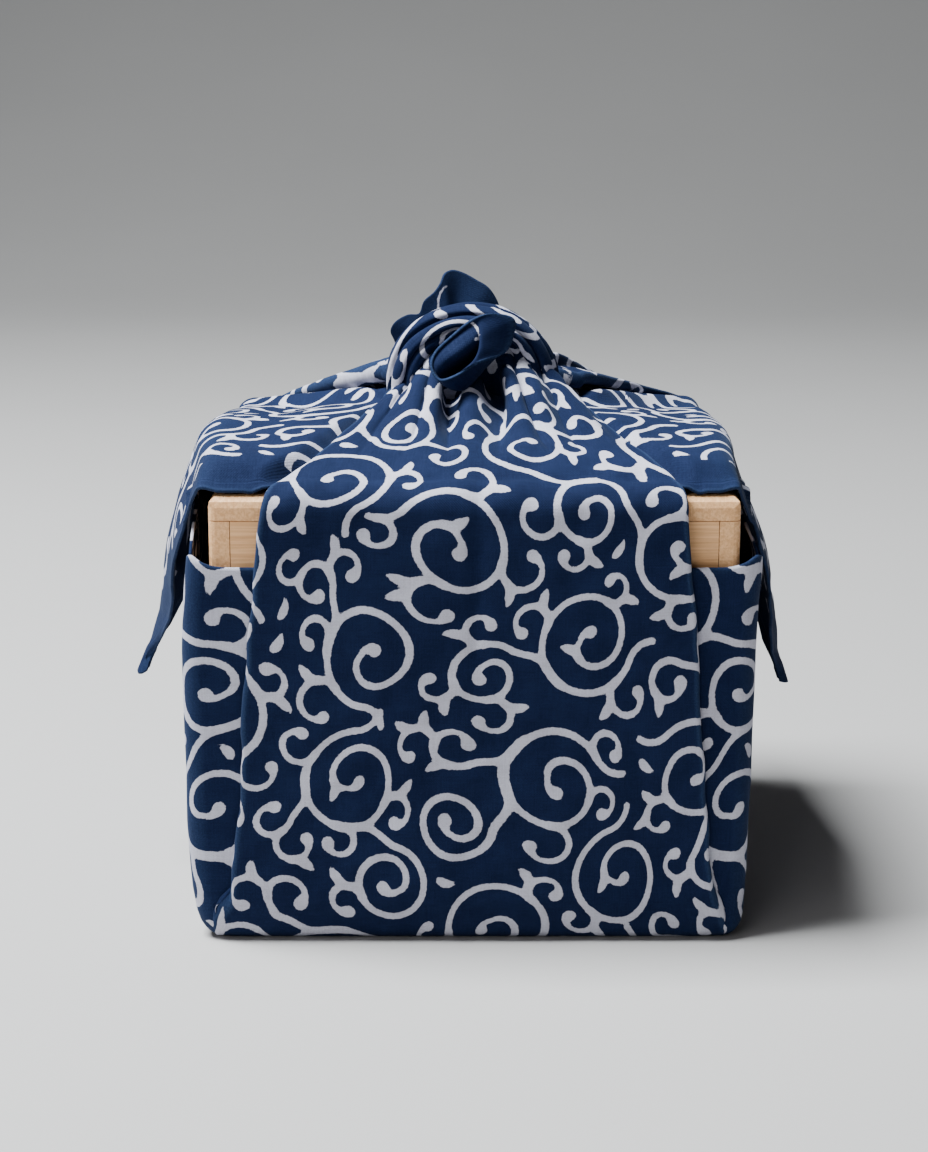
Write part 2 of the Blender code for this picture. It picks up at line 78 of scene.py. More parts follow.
# Along the hanging ends: millimetres past the turn, outward shift of the left and of the right one,
# and how far their edges curl in.
HANGING = (
    (-15, 0, -2.0, 0, 0), (5, 1.0, -3.3, 0, 0), (20, 2.5, -4.0, 1.5, 0.5),
    (42, 4.0, -2.0, 4.0, 2.0), (64, 4.6, 1.0, 4.6, 3.4), (80, 4.4, 2.6, 5.0, 4.0),
    (94, 2.6, 1.6, 5.6, 4.5), (104, 0.6, -1.6, 6.0, 5.0), (120, 0.0, -4.4, 6.4, 5.6),
    (137, 2.2, -3.6, 6.8, 6.2),
)
HANG_SHORT = (2.6 * MM, -2.6 * MM)  # how much less far down the ends hang
HANG_SHORT_AT = (40, 137)
HANG_TIP_AT = (90, 137)
HANG_TIP_DOWN = (5.2, 2.2)
HANG_BULGE = 1.7
HANG_HOLLOW = 3.0 * MM
HANG_HOLLOW_AT = (88.0 * MM, 17.0 * MM)
HEM_TURN = 107.5 * MM
HEM_TURN_ROUND = 8.8 * MM
HEM_SLOPE = (math.radians(70.5), math.radians(71.8))
HEM_SHORT = 14.0 * MM
HEM_UNDER = 0.4 * MM
HEM_SLANT = (1.5, 8.0)  # front and back
FRONT_HEM_BACK = 4.0 * MM
FRONT_HEM_LOW = 5.0 * MM
WINDOW_BEYOND = 12 * MM  # past the turn, where the front hem is whole again
WINDOW_EDGE = 8.0 * MM

# Front and back panels, from the foot to the knot

PANEL_Y = 119.9 * MM
PANEL_FOOT = 3.5 * MM
PANEL_FOOT_TURN = 22.0 * MM
PANEL_FOOT_STEP = 4.7 * MM
PANEL_TURN = 189.8 * MM
PANEL_TURN_ROUND = 13.0 * MM
PANEL_BELLY = 1.5 * MM
PANEL_OVER_FLAP = 6.0 * MM
NECK_Y = 20.0 * MM
TURN_START = PANEL_TURN - PANEL_FOOT  # lengths along a panel from its foot
TURN_END = TURN_START + PANEL_TURN_ROUND * math.pi / 2
TOP_START = PANEL_Y - PANEL_TURN_ROUND  # distance from the middle where a panel's flat top starts
TOP_RUN = TOP_START - NECK_Y
LOW_HALF_FRONT = (107 * MM, 111 * MM)
LOW_HALF_BACK = (107 * MM, 108 * MM)
# The panels' edges on top. Front: half width in the middle, its growth outwards, flare at the turn.
# Back: half width, its growth, from where, and least and most.
FRONT_EDGE = ((35, 0.37, 11), (40, 0.42, 3))
FRONT_FLARE_AT = (85, 118)
BACK_EDGE = ((39, 0.766, 22, -15, 105), (45, 0.73, 15, -8, 106))
CROWN_RISE = (12.5 * MM, 9.0 * MM)  # near the turn and at the knot
CROWN_SPREAD = 22 * MM
CROWN_FALL = 5.0 * MM
CROWN_FALL_MOST = 9.0 * MM
BACK_RISE = 9.5 * MM
BACK_RISE_AT = (8.0 * MM, 24.0 * MM)
BACK_RISE_FOLD = (0.45, 0.85)
BESIDE_BACK = (2.0 * MM, 26.0 * MM)
HEM_RETURN = 12.0 * MM
HEM_FOLD_LEAD = 6.5 * MM
HEM_FOLD_LEAD_END = 40 * MM
PLEAT = 3.2 * MM
PLEAT_WAVES = 2.3
EDGE_ROLL = (4.5 * MM, 1.5 * MM)
SECOND_ROLL = 9.0 * MM
PAST_NECK_RISE = 1.2
PAST_NECK_NARROW = 0.3
PAST_NECK = 14 * MM

# Knot

CORE = (28.0 * MM, 19.0 * MM, 23.0 * MM)
CORE_MIDDLE = (-1.0 * MM, -5.0 * MM, 232.0 * MM)
FAN_ROOT = (-5.0 * MM, 4.0 * MM, 239.0 * MM)
FAN_WAVE = 4.5 * MM
FAN_BACK = (14.0 * MM, 5.0 * MM)  # how far the fan leans back and its edge comes forward again

PROBE = 0.4 * MM  # steps along and across a panel to find its slope
PROBE_ACROSS = 0.02

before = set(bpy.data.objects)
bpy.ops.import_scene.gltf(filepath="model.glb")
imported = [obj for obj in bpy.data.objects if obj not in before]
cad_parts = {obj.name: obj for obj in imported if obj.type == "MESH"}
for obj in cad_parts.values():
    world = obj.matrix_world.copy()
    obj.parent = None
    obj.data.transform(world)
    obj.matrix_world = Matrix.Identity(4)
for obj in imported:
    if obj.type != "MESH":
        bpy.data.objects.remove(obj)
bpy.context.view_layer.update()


def add_object(name, data):
    made = bpy.data.objects.new(name, data)
    bpy.context.scene.collection.objects.link(made)
    return made


def set_camera():
    camera = bpy.data.cameras.new("camera")
    camera.lens = LENS_MM
    camera.sensor_fit = "VERTICAL"
    camera.sensor_height = SENSOR_MM
    made = add_object("camera", camera)
    made.location = CAMERA_AT
    made.rotation_euler = (CAMERA_TILT, 0.0, 0.0)
    bpy.context.scene.camera = made


set_camera()


# Helpers


def smooth(start, end, value):
    share = np.clip((value - start) / (end - start), 0.0, 1.0)
    return share * share * (3.0 - 2.0 * share)


def bump(middle, width, value):
    return np.exp(-(((value - middle) / width) ** 2))


def between(pair, share):
    """From the pair's first value to its second."""
    return pair[0] + (pair[1] - pair[0]) * share


def steps(*runs):
    """Values along runs of (start, end, count), each starting where the last one ended."""
    later = [np.linspace(a, b, count + 1)[1:] for a, b, count in runs]
    return np.concatenate([[runs[0][0]]] + later)


def ripple(u, v, wavelength, seed, waves=6):
    """Soft waves of about one wavelength in all directions, about -1 to 1."""
    dice = np.random.default_rng(seed)
    total = 0.0
    for _ in range(waves):
        angle, phase = dice.uniform(0, 2 * math.pi, 2)
        length = wavelength * dice.uniform(0.7, 1.5)
        along = u * math.cos(angle) + v * math.sin(angle)
        total = total + np.cos(2 * math.pi * along / length + phase)
    return total / math.sqrt(waves)


def uneven(u, v, waves):
    """Soft unevenness, the sum of waves given as height, wavelength and seed."""
    return sum(height * ripple(u, v, wavelength, seed) for height, wavelength, seed in waves)


def ring(around, half_x, half_y, corner):
    """A point on a rounded rectangle. `around` runs 0 to 4, a side and its corner for each unit."""
    side = np.floor(around).astype(int) % 4
    local = around - np.floor(around)
    run = np.clip(local / RUN_SHARE, 0.0, 1.0)
    turn = np.clip((local - RUN_SHARE) / (1.0 - RUN_SHARE), 0.0, 1.0) * math.pi / 2
    straight_x, straight_y = half_x - corner, half_y - corner
    reach = np.where(side % 2 == 0, straight_x, straight_y)
    depth = np.where(side % 2 == 0, straight_y, straight_x)
    u = (2 * run - 1) * reach + corner * np.sin(turn)
    w = -(depth + corner * np.cos(turn))
    angle = side * math.pi / 2
    return u * np.cos(angle) - w * np.sin(angle), u * np.sin(angle) + w * np.cos(angle)


def side_wall_x(height):
    """Distance of a side wall's outer face from the middle."""
    return between(TUB_HALF_X, smooth(TUB_FOOT_ROUND, TUB_LEAN_TOP, height))


def tub_point(around, share):
    """share: 0 in the middle of the base, 1 at the start and 2 at the end of the foot's turn, 3 at
    the rim."""
    base = np.clip(share, 0.0, 1.0)
    turn = np.clip(share - 1.0, 0.0, 1.0) * math.pi / 2
    side = np.floor(around).astype(int) % 4
    local = (around - np.floor(around)) / RUN_SHARE
    past_corner = smooth(1.0, 1.0 / RUN_SHARE, local)
    rim = TUB_RIM + SIDE_RIM_RISE * np.where(side % 2 == 1, 1.0 - past_corner, past_corner)
    climb = np.clip(share - 2.0, 0.0, 1.0) * (rim - TUB_FOOT_ROUND)
    height = TUB_FOOT_ROUND + climb
    half_x = side_wall_x(height)
    half_y = between(TUB_HALF_Y, smooth(*TUB_LEAN_Y, height))
    inset = TUB_FOOT_ROUND * (1.0 - np.sin(turn))
    corner = np.maximum(TUB_CORNER - inset, TUB_CORNER_LEAST)
    x, y = ring(around, (half_x - inset) * base, (half_y - inset) * base, corner * base)
    z = climb + TUB_FOOT_ROUND * (1 - np.cos(turn))
    return np.stack([x, y, z], axis=-1)


def drawn_in(height, right):
    """How far the right side's cloth leans in above the rim."""
    return RIGHT_LAP_IN * smooth(TUB_RIM, RIGHT_LAP_TOP, height) * right


def side_lap_point(across, path, sign):
    """A side wall's cloth on its way up from the rim, in over the lid and into the flap."""
    height = SIDE_LAP_FOOT + path
    over = np.maximum(height - SIDE_TURN, 0.0)
    turn = np.clip(over / SIDE_TURN_ROUND, 0.0, math.pi / 2)
    inward = np.maximum(over - SIDE_TURN_ROUND * math.pi / 2, 0.0)
    half = between(SIDE_LAP_HALF, smooth(TUB_RIM, SIDE_TURN, height))
    x = side_wall_x(np.minimum(height, SIDE_TURN)) - 0.5 * CLOTH - drawn_in(height, sign > 0)
    x = sign * (x - SIDE_TURN_ROUND * (1 - np.cos(turn)) - inward)
    y = across * half * sign
    z = np.minimum(height, SIDE_TURN) + SIDE_TURN_ROUND * np.sin(turn)
    meet = (inward / SIDE_REACH) ** 1.5
    z = z + (flap_height(x, y) - 0.5 * CLOTH - z) * meet
    return np.stack([x, y, z], axis=-1)


def panel_edge(side, from_middle, back):
    """Half width of a panel on top, at this distance from the middle of the wrap."""
    d = from_middle / MM
    if back:
        left, right = (
            np.minimum(half + growth * np.maximum(d - start, least), most)
            for half, growth, start, least, most in BACK_EDGE
        )
    else:
        near_turn = smooth(*FRONT_FLARE_AT, d)
        left, right = (half + growth * d + flare * near_turn for half, growth, flare in FRONT_EDGE)
    return np.where(side < 0, left, right) * MM


def panel_crown(x, y):
    """Height of a panel's upper face on top of the wrap, without pleats and rolls."""
    inward = np.maximum(TOP_START - np.abs(y), 0.0)
    share = inward / TOP_RUN
    rise = CROWN_RISE[0] * (1.0 - np.exp(-inward / CROWN_SPREAD)) + CROWN_RISE[1] * share**1.5
    edge = panel_edge(x, np.abs(y), False)
    fall = CROWN_FALL * (x / edge) ** 2 * share
    return PANEL_TURN + PANEL_TURN_ROUND + rise - np.minimum(fall, CROWN_FALL_MOST)


def back_rise(x, y):
    """How far the back panel's folded sides, and the flap below them, swell towards the knot."""
    edge = panel_edge(x, np.abs(y), True)
    share = np.clip((TOP_START - y) / TOP_RUN, 0.0, 1.0)
    side = smooth(*BACK_RISE_FOLD, np.abs(x) / edge)
    side = side * (1.0 - smooth(*BESIDE_BACK, np.abs(x) - edge))
    return BACK_RISE * smooth(0.05, 1.0, share) * side * smooth(*BACK_RISE_AT, y)


def flap_height(x, y):
    """Height of the flap's upper face on the lid: a puffed dome, pressed down under the panels."""
    from_hem = np.maximum(FLAP_HALF_Y - np.abs(y), 0.0)
    free = FLAP_HEM + FLAP_DOME * (1.0 - np.exp(-from_hem / FLAP_DOME_SPREAD))
    front_edge, back_edge = (panel_edge(x, np.abs(y), back) for back in (False, True))
    beside = smooth(*BESIDE_BACK, np.abs(x) - back_edge)
    fall = FLAP_BACK_FALL * smooth(*FLAP_BACK_FALL_AT, y) * beside
    free = np.maximum(free - fall, FLAP_HEM)
    near = np.clip(1.0 - np.hypot(x, y) / FLAP_CONE_REACH, 0.0, 1.0)
    free = free + FLAP_CONE * near**1.2
    press = 1.0 - smooth(*FLAP_PRESSED, np.abs(x) - np.where(y < 0, front_edge, back_edge))
    pressed = np.clip(panel_crown(x, y) - PANEL_OVER_FLAP, FLAP_HEM, free)
    return free + (pressed - free) * press + back_rise(x, y)


def flap_point(along, across):
    """along: signed distance over the lid from the middle; across: -1 front hem to 1 back hem."""
    left = along < 0
    sign = np.where(left, -1.0, 1.0)
    hem = 1.0 - np.exp(-((HANG_BULGE * across) ** 2))
    turn_at = np.where(left, FLAP_TURN_LEFT, FLAP_TURN_RIGHT)
    turn_at = turn_at + (HEM_TURN - turn_at) * hem
    radius = between((FLAP_TURN_ROUND, HEM_TURN_ROUND), hem)
    slope = between((FLAP_SLOPE, np.where(left, *HEM_SLOPE)), hem)
    drop = np.maximum(np.abs(along) - turn_at, 0.0)
    on_lid = np.minimum(np.abs(along), turn_at)
    angle = np.minimum(drop / radius, slope)
    straight = np.maximum(drop - radius * slope, 0.0)
    out = radius * np.sin(angle) + straight * np.cos(slope)
    out = out - HANG_HOLLOW * bump(*HANG_HOLLOW_AT, drop)
    down = radius * (1 - np.cos(angle)) + straight * np.sin(slope)
    past = (np.abs(along) - turn_at) / MM
    end = smooth(*HANG_TIP_AT, past)
    down = down - np.where(left, *HANG_SHORT) * smooth(*HANG_SHORT_AT, past)
    down = down - MM * end * np.abs(across) ** 2 * np.where(left, *HANG_TIP_DOWN)
    at, *columns = np.array(HANGING).T
    shift_left, shift_right, curl_left, curl_right = (np.interp(past, at, c) * MM for c in columns)
    curl = smooth(0.2, 1.0, np.abs(across)) * (1 - end) + np.abs(across) ** 2 * end
    out = out + np.where(left, shift_left - curl * curl_left, shift_right - curl * curl_right)
    half = np.maximum(FLAP_HALF_Y * (1.0 - (drop / FLAP_HANG) ** FLAP_TAPER), FLAP_TIP_HALF)
    x = sign * on_lid
    front = across < 0
    front_edge, back_edge = (panel_edge(x, FLAP_HALF_Y, back) for back in (False, True))
    edge = front_edge * front + back_edge * (1 - front)
    short = (edge + HEM_UNDER - on_lid - out) * np.where(front, *HEM_SLANT)
    short = np.clip(short, 0.0, HEM_SHORT)
    near_lid = smooth(WINDOW_BEYOND, 0, drop)
    short = np.maximum(short, FRONT_HEM_BACK * front * near_lid)
    y = across * (half - short * smooth(0.8, 1.0, np.abs(across)))
    z = flap_height(x, y) - down
    window = smooth(0.0, WINDOW_EDGE, on_lid - edge) * near_lid
    z = z - FRONT_HEM_LOW * front * window * smooth(0.84, 1.0, np.abs(across))
    lap = between(SIDE_LAP_HALF, smooth(TUB_RIM, SIDE_TURN, z))
    guard = smooth(lap + 12 * MM, lap + 3 * MM, np.abs(y))
    guard = np.maximum(smooth(TUB_RIM + 10 * MM, TUB_RIM + 5 * MM, z), guard)
    clear = side_wall_x(z) + FLAP_OFF_SIDE - drawn_in(z, ~left)
    clear = clear * smooth(FLAP_HEM, FLAP_HEM - 8 * MM, z) * guard
    return np.stack([sign * np.maximum(on_lid + out, clear), y, z], axis=-1)


def roll_growth(across, path):
    """By how much the back panel's folded edges fatten towards the knot."""
    share = np.clip((path - TURN_END) / TOP_RUN, 0.0, 1.0)
    return np.where(across < 0, *EDGE_ROLL) * share


def panel_face(across, path, back, dressed=True):
    """Outer face. across -1 to 1, left edge to right edge; path from the foot up and over."""
    height = PANEL_FOOT + np.minimum(path, TURN_START)
    angle = np.clip((path - TURN_START) / PANEL_TURN_ROUND, 0.0, math.pi / 2)
    inward = np.maximum(path - TURN_END, 0.0)
    foot = np.clip((PANEL_FOOT_TURN - height) / (PANEL_FOOT_TURN - PANEL_FOOT), 0.0, 1.0)
    belly = PANEL_BELLY * np.sin(math.pi * height / PANEL_TURN) * (1 - across**2)
    depth = PANEL_Y - PANEL_FOOT_STEP * foot**2 + belly
    depth = depth - PANEL_TURN_ROUND * (1 - np.cos(angle)) - inward
    wall_share = (PANEL_TURN - height) / PANEL_TURN
    top_edge = panel_edge(across, np.maximum(depth, 0.0), back)
    low_edge = np.where(across < 0, *(LOW_HALF_BACK if back else LOW_HALF_FRONT))
    x = across * between((top_edge, low_edge), wall_share**1.1)
    z = np.where(inward > 0, panel_crown(x, depth), height + PANEL_TURN_ROUND * np.sin(angle))
    share = inward / TOP_RUN
    if dressed:
        waves = 2 * math.pi * (PLEAT_WAVES * across + 0.12 * np.sin(3.0 * across))
        flat_edge = 1.0 - smooth(0.55, 0.85, np.abs(across))
        z = z + PLEAT * smooth(0.15, 1.0, share) * np.cos(waves + 0.5) * flat_edge
    if dressed and back:
        z = z + 2.0 * roll_growth(across, path) * smooth(0.5, 0.92, np.abs(across))
        z = z + SECOND_ROLL * np.clip(share, 0.0, 1.0) * bump(0.72, 0.13, across)
    past_neck = np.maximum(share - 1.0, 0.0) * TOP_RUN
    z = z + past_neck * PAST_NECK_RISE
    x = x * (1 - PAST_NECK_NARROW * smooth(0.0, PAST_NECK, past_neck))
    return np.stack([x, depth * (1 if back else -1), z], axis=-1)


def panel_point(across, path, back):
    """The panel with its side edges folded under. Beyond 1 or -1, `across` follows the fold."""
    sign = np.where(across < 0, -1.0, 1.0)
    beyond = np.maximum(np.abs(across) - 1.0, 0.0)
    turn = np.minimum(beyond, 1.0) * math.pi
    near_knot = smooth(PANEL_TURN, PANEL_TURN + PANEL_Y, path)
    returned = np.maximum(beyond - 1.0, 0.0) * HEM_RETURN * (1 - 0.6 * near_knot)
    at = path + HEM_FOLD_LEAD * (1 - np.cos(turn)) * (1 - smooth(0.0, HEM_FOLD_LEAD_END, path))
    outer = panel_face(np.clip(across, -1.0, 1.0), at, back)
    half = np.abs(panel_face(sign, at, back)[..., 0])
    face = sign * (1.0 - returned / half)
    inner = panel_face(face, at, back, dressed=False)
    ahead, behind = (panel_face(face, at + probe, back, False) for probe in (PROBE, -PROBE))
    outward = inner - panel_face(face - PROBE_ACROSS * sign, at, back, False)
    outward = outward / np.linalg.norm(outward, axis=-1, keepdims=True)
    normal = np.cross(ahead - behind, outward) * (sign * (1 if back else -1))[..., None]
    normal = normal / np.linalg.norm(normal, axis=-1, keepdims=True)
    inner = inner - normal * (LAYER + CLOTH)
    radius = 0.5 * np.linalg.norm(outer - inner, axis=-1)
    share_out = (0.5 * (1 + np.cos(turn)))[..., None]
    folded = outer * share_out + inner * (1 - share_out)
    folded = folded + outward * (radius * np.sin(turn))[..., None]
    folded = np.where((beyond > 0.0)[..., None], folded, outer)
    return np.where((beyond > 1.0)[..., None], inner, folded)


def looped(values, t, closed=False):
    """A smooth curve through evenly placed values, read at t along their first axis."""
    count = len(values)
    k = np.floor(t).astype(int) if closed else np.minimum(np.floor(t).astype(int), count - 2)
    f = (t - k).reshape(t.shape + (1,) * (values.ndim - 1))
    if closed:
        p0, p1, p2, p3 = (values[(k + step) % count] for step in (-1, 0, 1, 2))
    else:
        ends = [2 * values[0] - values[1]], [2 * values[-1] - values[-2]]
        padded = np.concatenate([ends[0], values, ends[1]])
        p0, p1, p2, p3 = (padded[k + step] for step in (0, 1, 2, 3))
    third = 2 * p0 - 5 * p1 + 4 * p2 - p3 + f * (3 * (p1 - p2) + p3 - p0)
    return p1 + 0.5 * f * (p2 - p0 + f * third)


TAIL_LOOPS = (  # the front end of the cloth from its root in the knot to its hem, in millimetres
    ((7, -20, 247), (8, -17, 250), (10, -16, 252), (12, -15, 253), (14, -15, 253), (15, -16, 252),
     (15, -17, 250), (14, -18, 248), (11, -20, 246), (9, -21, 245), (7, -21, 245.5)),
    ((-6, -28, 237), (-4, -27, 240.5), (1, -25, 245), (6, -22, 249.5), (9, -20, 252),
     (11, -21, 251), (11, -24, 248), (9, -27, 244), (4, -31, 239), (0, -33, 235.0),
     (-4.5, -31.5, 235.0)),
    ((-15, -42, 239), (-12.8, -42, 243.0), (-6, -41, 248.0), (0.8, -37, 252.8), (4.2, -32.5, 256),
     (6.5, -29.5, 255), (7, -31.5, 251), (5.5, -35, 246), (1.5, -38.5, 239), (-5.5, -41.5, 231.8),
     (-12, -40.5, 233.5)),
    ((-18.4, -42, 242.5), (-16.2, -39, 248), (-8.8, -35.5, 254.4), (-1.8, -33, 259.4),
     (2.0, -33, 259.8), (3.4, -35.5, 256.5), (3.4, -38, 252), (2.2, -41, 247.5),
     (-1.6, -43.8, 242.8), (-9, -46, 237), (-15.2, -45, 236.2)),
    ((-19.0, -43.4, 242), (-17.0, -40.4, 248.4), (-9.5, -37, 255.2), (-0.6, -33.6, 262),
     (8, -30, 264.3), (17.8, -26, 261.5), (17.6, -27, 253.5), (13.5, -32, 246.6),
     (2.4, -43, 244.3), (-8.6, -47, 238.6), (-15.5, -46.2, 236.9)),
)
TAIL_ROWS = (0.0, 0.3, 0.62, 0.86, 1.0)


def front_tail_point(around, along):
    """The front end of the cloth: a curled horn, its right side turned back over the knot."""
    loops = np.array(TAIL_LOOPS, float)
    rows = np.interp(along, TAIL_ROWS, np.arange(len(TAIL_ROWS)))
    turn = around[0] / (2 * math.pi) * loops.shape[1]
    return np.stack([looped(strip, turn, True) for strip in looped(loops, rows[:, 0])]) * MM


FAN_EDGE = (  # the edge of the back end: x and z in millimetres, right to left
    (13.0, 258.0), (11.0, 264.6), (6.8, 270.6), (1.3, 274.2), (-4.7, 277.8), (-9.6, 279.3),
    (-13.4, 277.8), (-15.6, 273.6), (-18.4, 269.6), (-23.0, 265.4), (-25.4, 259.6), (-31.0, 258.8),
    (-36.2, 255.8), (-38.4, 251.6), (-36.8, 246.0), (-35.4, 238.0),
)


def back_tail_point(around, along):
    """The back end of the cloth, a fan behind the knot, leaning back and waved at its edge."""
    edge = looped(np.array(FAN_EDGE, float), around * (len(FAN_EDGE) - 1)) * MM
    x = FAN_ROOT[0] + (edge[..., 0] - FAN_ROOT[0]) * along
    z = FAN_ROOT[2] + (edge[..., 1] - FAN_ROOT[2]) * along
    wave = FAN_WAVE * along * np.sin(2.2 * math.pi * around + 0.4)
    y = FAN_ROOT[1] + FAN_BACK[0] * along + wave - FAN_BACK[1] * along**2
    return np.stack([x, y, z], axis=-1)


# Scrolling vine print, on a tile that repeats in both directions; all in millimetres

TILE = 384.0
CELL = 0.6
CELLS = round(TILE / CELL)
VINE = 1.65
PRINT_SCALE = 0.93  # of the print on the cloth to the print as drawn
VINE_STEP = 0.9
FAR = 14.0
SPAN = int(FAR / CELL)
WEB = 2.2
RINGS = (  # least and greatest radius, gap to the next ring, tries
    (20.0, 24.0, 10.5, 160), (14.5, 18.5, 10.0, 900), (9.5, 12.0, 8.5, 1500),
)
SMALL_RING = 13
CURL_END = 4.8
CURL_HOOK = (25, 105.0)  # degrees that a small and a large scroll turn on at its end
OPEN_PART = ((75, 110), (150, 215))  # degrees of a small and a large ring that lie on its circle
RINGS_APART = 5.0
PARENT_REACH = 15
BRANCH_FROM = 30
BRANCH_PAST = 50
BRANCH_APART = 35
LEAD_BOW = 0.12
BULB = (1.4, 2.8)
BULB_NECK = (0.3, 8, 3.5)
CURL_RADII = (9.6, 8.2, 6.8)
CURL_APART = 13.0
LEAF_APART = 12.0
FILL_ROUNDS = 12
SPECKS = 14
SPECK_SIZE = (4.0, 5.4)
SPECK_GAP = 3.2
draw = np.random.default_rng(7)


def wrapped(delta):
    return (delta + TILE / 2) % TILE - TILE / 2


def toward(angle):
    return np.array((math.cos(angle), math.sin(angle)))


def packed_rings():
    """Circles for the scrolls, packed on the tile in falling size: x, y and radius."""
    rings = np.zeros((0, 3))
    for smallest, largest, gap, tries in RINGS:
        for _ in range(tries):
            spot = draw.uniform(0, TILE, 2)
            room = largest
            if len(rings):
                free = np.hypot(*wrapped(rings[:, :2] - spot).T) - rings[:, 2]
                room = min(largest, free.min() - gap)
            if room >= smallest:
                rings = np.vstack([rings, (*spot, draw.uniform(max(smallest, room - 2), room))])
    return rings


def bent(start, heading, turns, step=VINE_STEP):
    """A line that makes each turn (degrees, radius before and after), and its headings."""
    points, headings = [np.array(start, float)], [heading]
    for degrees, before, after in turns:
        total, sign, done = math.radians(abs(degrees)), math.copysign(1, degrees), 0.0
        while done < total - 1e-6:
            radius = before + (after - before) * done / total
            turn = min(step / radius, total - done)
            heading += sign * turn
            points.append(points[-1] + radius * turn * toward(heading - sign * turn / 2))
            headings.append(heading)
            done += turn
    return np.array(points), np.array(headings)


def evened(points, values):
    """The same line with its points one step apart."""
    length = np.concatenate([[0], np.cumsum(np.hypot(*np.diff(points, axis=0).T))])
    at = np.arange(0, length[-1], VINE_STEP)
    x, y, values = (np.interp(at, length, column) for column in (*points.T, values))
    return np.stack([x, y], axis=-1), values


def with_bulb(half):
    """Half widths of a vine that narrows a little before the round bulb at its end."""
    back = np.arange(len(half))[::-1] * VINE_STEP
    depth, place, width = BULB_NECK
    return half - depth * bump(place, width, back) + BULB[0] * bump(0, BULB[1], back)


def scroll(ring, side, entry, lead, open_part):
    """A vine that comes along its lead, runs round its ring and winds in to a bulb."""
    radius = ring[2]
    wind = 175.0 if radius < SMALL_RING else 200 + 4.5 * radius
    hook = CURL_HOOK[0] if radius < SMALL_RING else CURL_HOOK[1]
    angle = np.radians(np.linspace(0, open_part + wind + hook, 400))
    inward = np.clip((np.degrees(angle) - open_part) / wind, 0, 1) ** 1.15
    reach = radius - (radius - CURL_END) * inward
    turn = entry + side * angle
    points = ring[:2] + reach[:, None] * np.stack([np.cos(turn), np.sin(turn)], axis=-1)
    points = np.concatenate([np.reshape(lead, (-1, 2)), points])
    points, angle = evened(points, np.concatenate([np.zeros(len(lead)), angle]))
    ahead = np.gradient(points, axis=0)
    return points, np.arctan2(ahead[:, 1], ahead[:, 0]), with_bulb(np.full(len(points), VINE))


def crossing(rings, parent, child, side, entry):
    """The line that leaves a parent's ring and meets the child's ring from the other side."""
    away = wrapped(rings[child, :2] - rings[parent, :2])
    far, bearing = np.hypot(*away), math.atan2(away[1], away[0])
    tilt = side * math.acos(min(1.0, (rings[parent, 2] + rings[child, 2]) / far))
    start = rings[parent, :2] + rings[parent, 2] * toward(bearing - tilt)
    stop = rings[parent, :2] + away + rings[child, 2] * toward(bearing + math.pi - tilt)
    offset = math.degrees((side * (bearing - tilt - entry)) % (2 * math.pi))
    return offset, bearing + math.pi - tilt, start, stop


def clear_of(rings, line, kept):
    others = [ring for number, ring in enumerate(rings) if number not in kept]
    gaps = (np.hypot(*wrapped(line - ring[:2]).T).min() - ring[2] for ring in others)
    return all(gap > RINGS_APART for gap in gaps)


def grown(rings):
    """Vines through all rings: each branches off the outer turn of one that is there already."""
    small, large = (draw.uniform(*degrees, len(rings)) for degrees in OPEN_PART)
    open_part = np.where(rings[:, 2] < SMALL_RING, small, large)
    joined, branches, strands = {}, {}, []
    while len(joined) < len(rings):
        best = None
        for child in set(range(len(rings))) - set(joined):
            for parent, (side, entry) in joined.items():
                apart = np.hypot(*wrapped(rings[child, :2] - rings[parent, :2]))
                gap = apart - rings[parent, 2] - rings[child, 2]
                cost = gap - 0.3 * rings[child, 2] + 5 * math.sin(child * 7.1 + parent * 3.3)
                if gap > PARENT_REACH or (best and best[0] < cost):
                    continue
                offset, arrive, start, stop = crossing(rings, parent, child, side, entry)
                taken = branches.get(parent, [])
                crowded = any(abs(offset - other) < BRANCH_APART for other in taken)
                if crowded or not BRANCH_FROM < offset < open_part[parent] + BRANCH_PAST:
                    continue
                line = start + np.linspace(0, 1, 12)[:, None] * (stop - start)
                if clear_of(rings, line, (parent, child)):
                    best = (cost, parent, child, offset, -side, arrive, start, stop)
        if best:
            _, parent, child, offset, side, arrive, start, stop = best
            branches.setdefault(parent, []).append(offset)
            count = max(2, int(np.hypot(*(stop - start)) / VINE_STEP))
            share = np.linspace(0, 1, count)[:-1, None]
            lead = start + share * (stop - start)
            bow = LEAD_BOW * side * np.sin(math.pi * share) ** 2
            lead = lead + bow * (stop - start)[::-1] * (1, -1)
            lead = lead + wrapped(stop - rings[child, :2]) - (stop - rings[child, :2])
        else:
            child = min(set(range(len(rings))) - set(joined))
            side, arrive = draw.choice((-1, 1)), draw.uniform(0, 2 * math.pi)
            at = rings[child, :2] + rings[child, 2] * toward(arrive)
            lead = bent(at, arrive - side * math.pi / 2, [(side * 70, 13, 13)])[0][:0:-1]
        joined[child] = (side, arrive)
        strands.append(scroll(rings[child], side, arrive, lead, open_part[child]))
    return strands


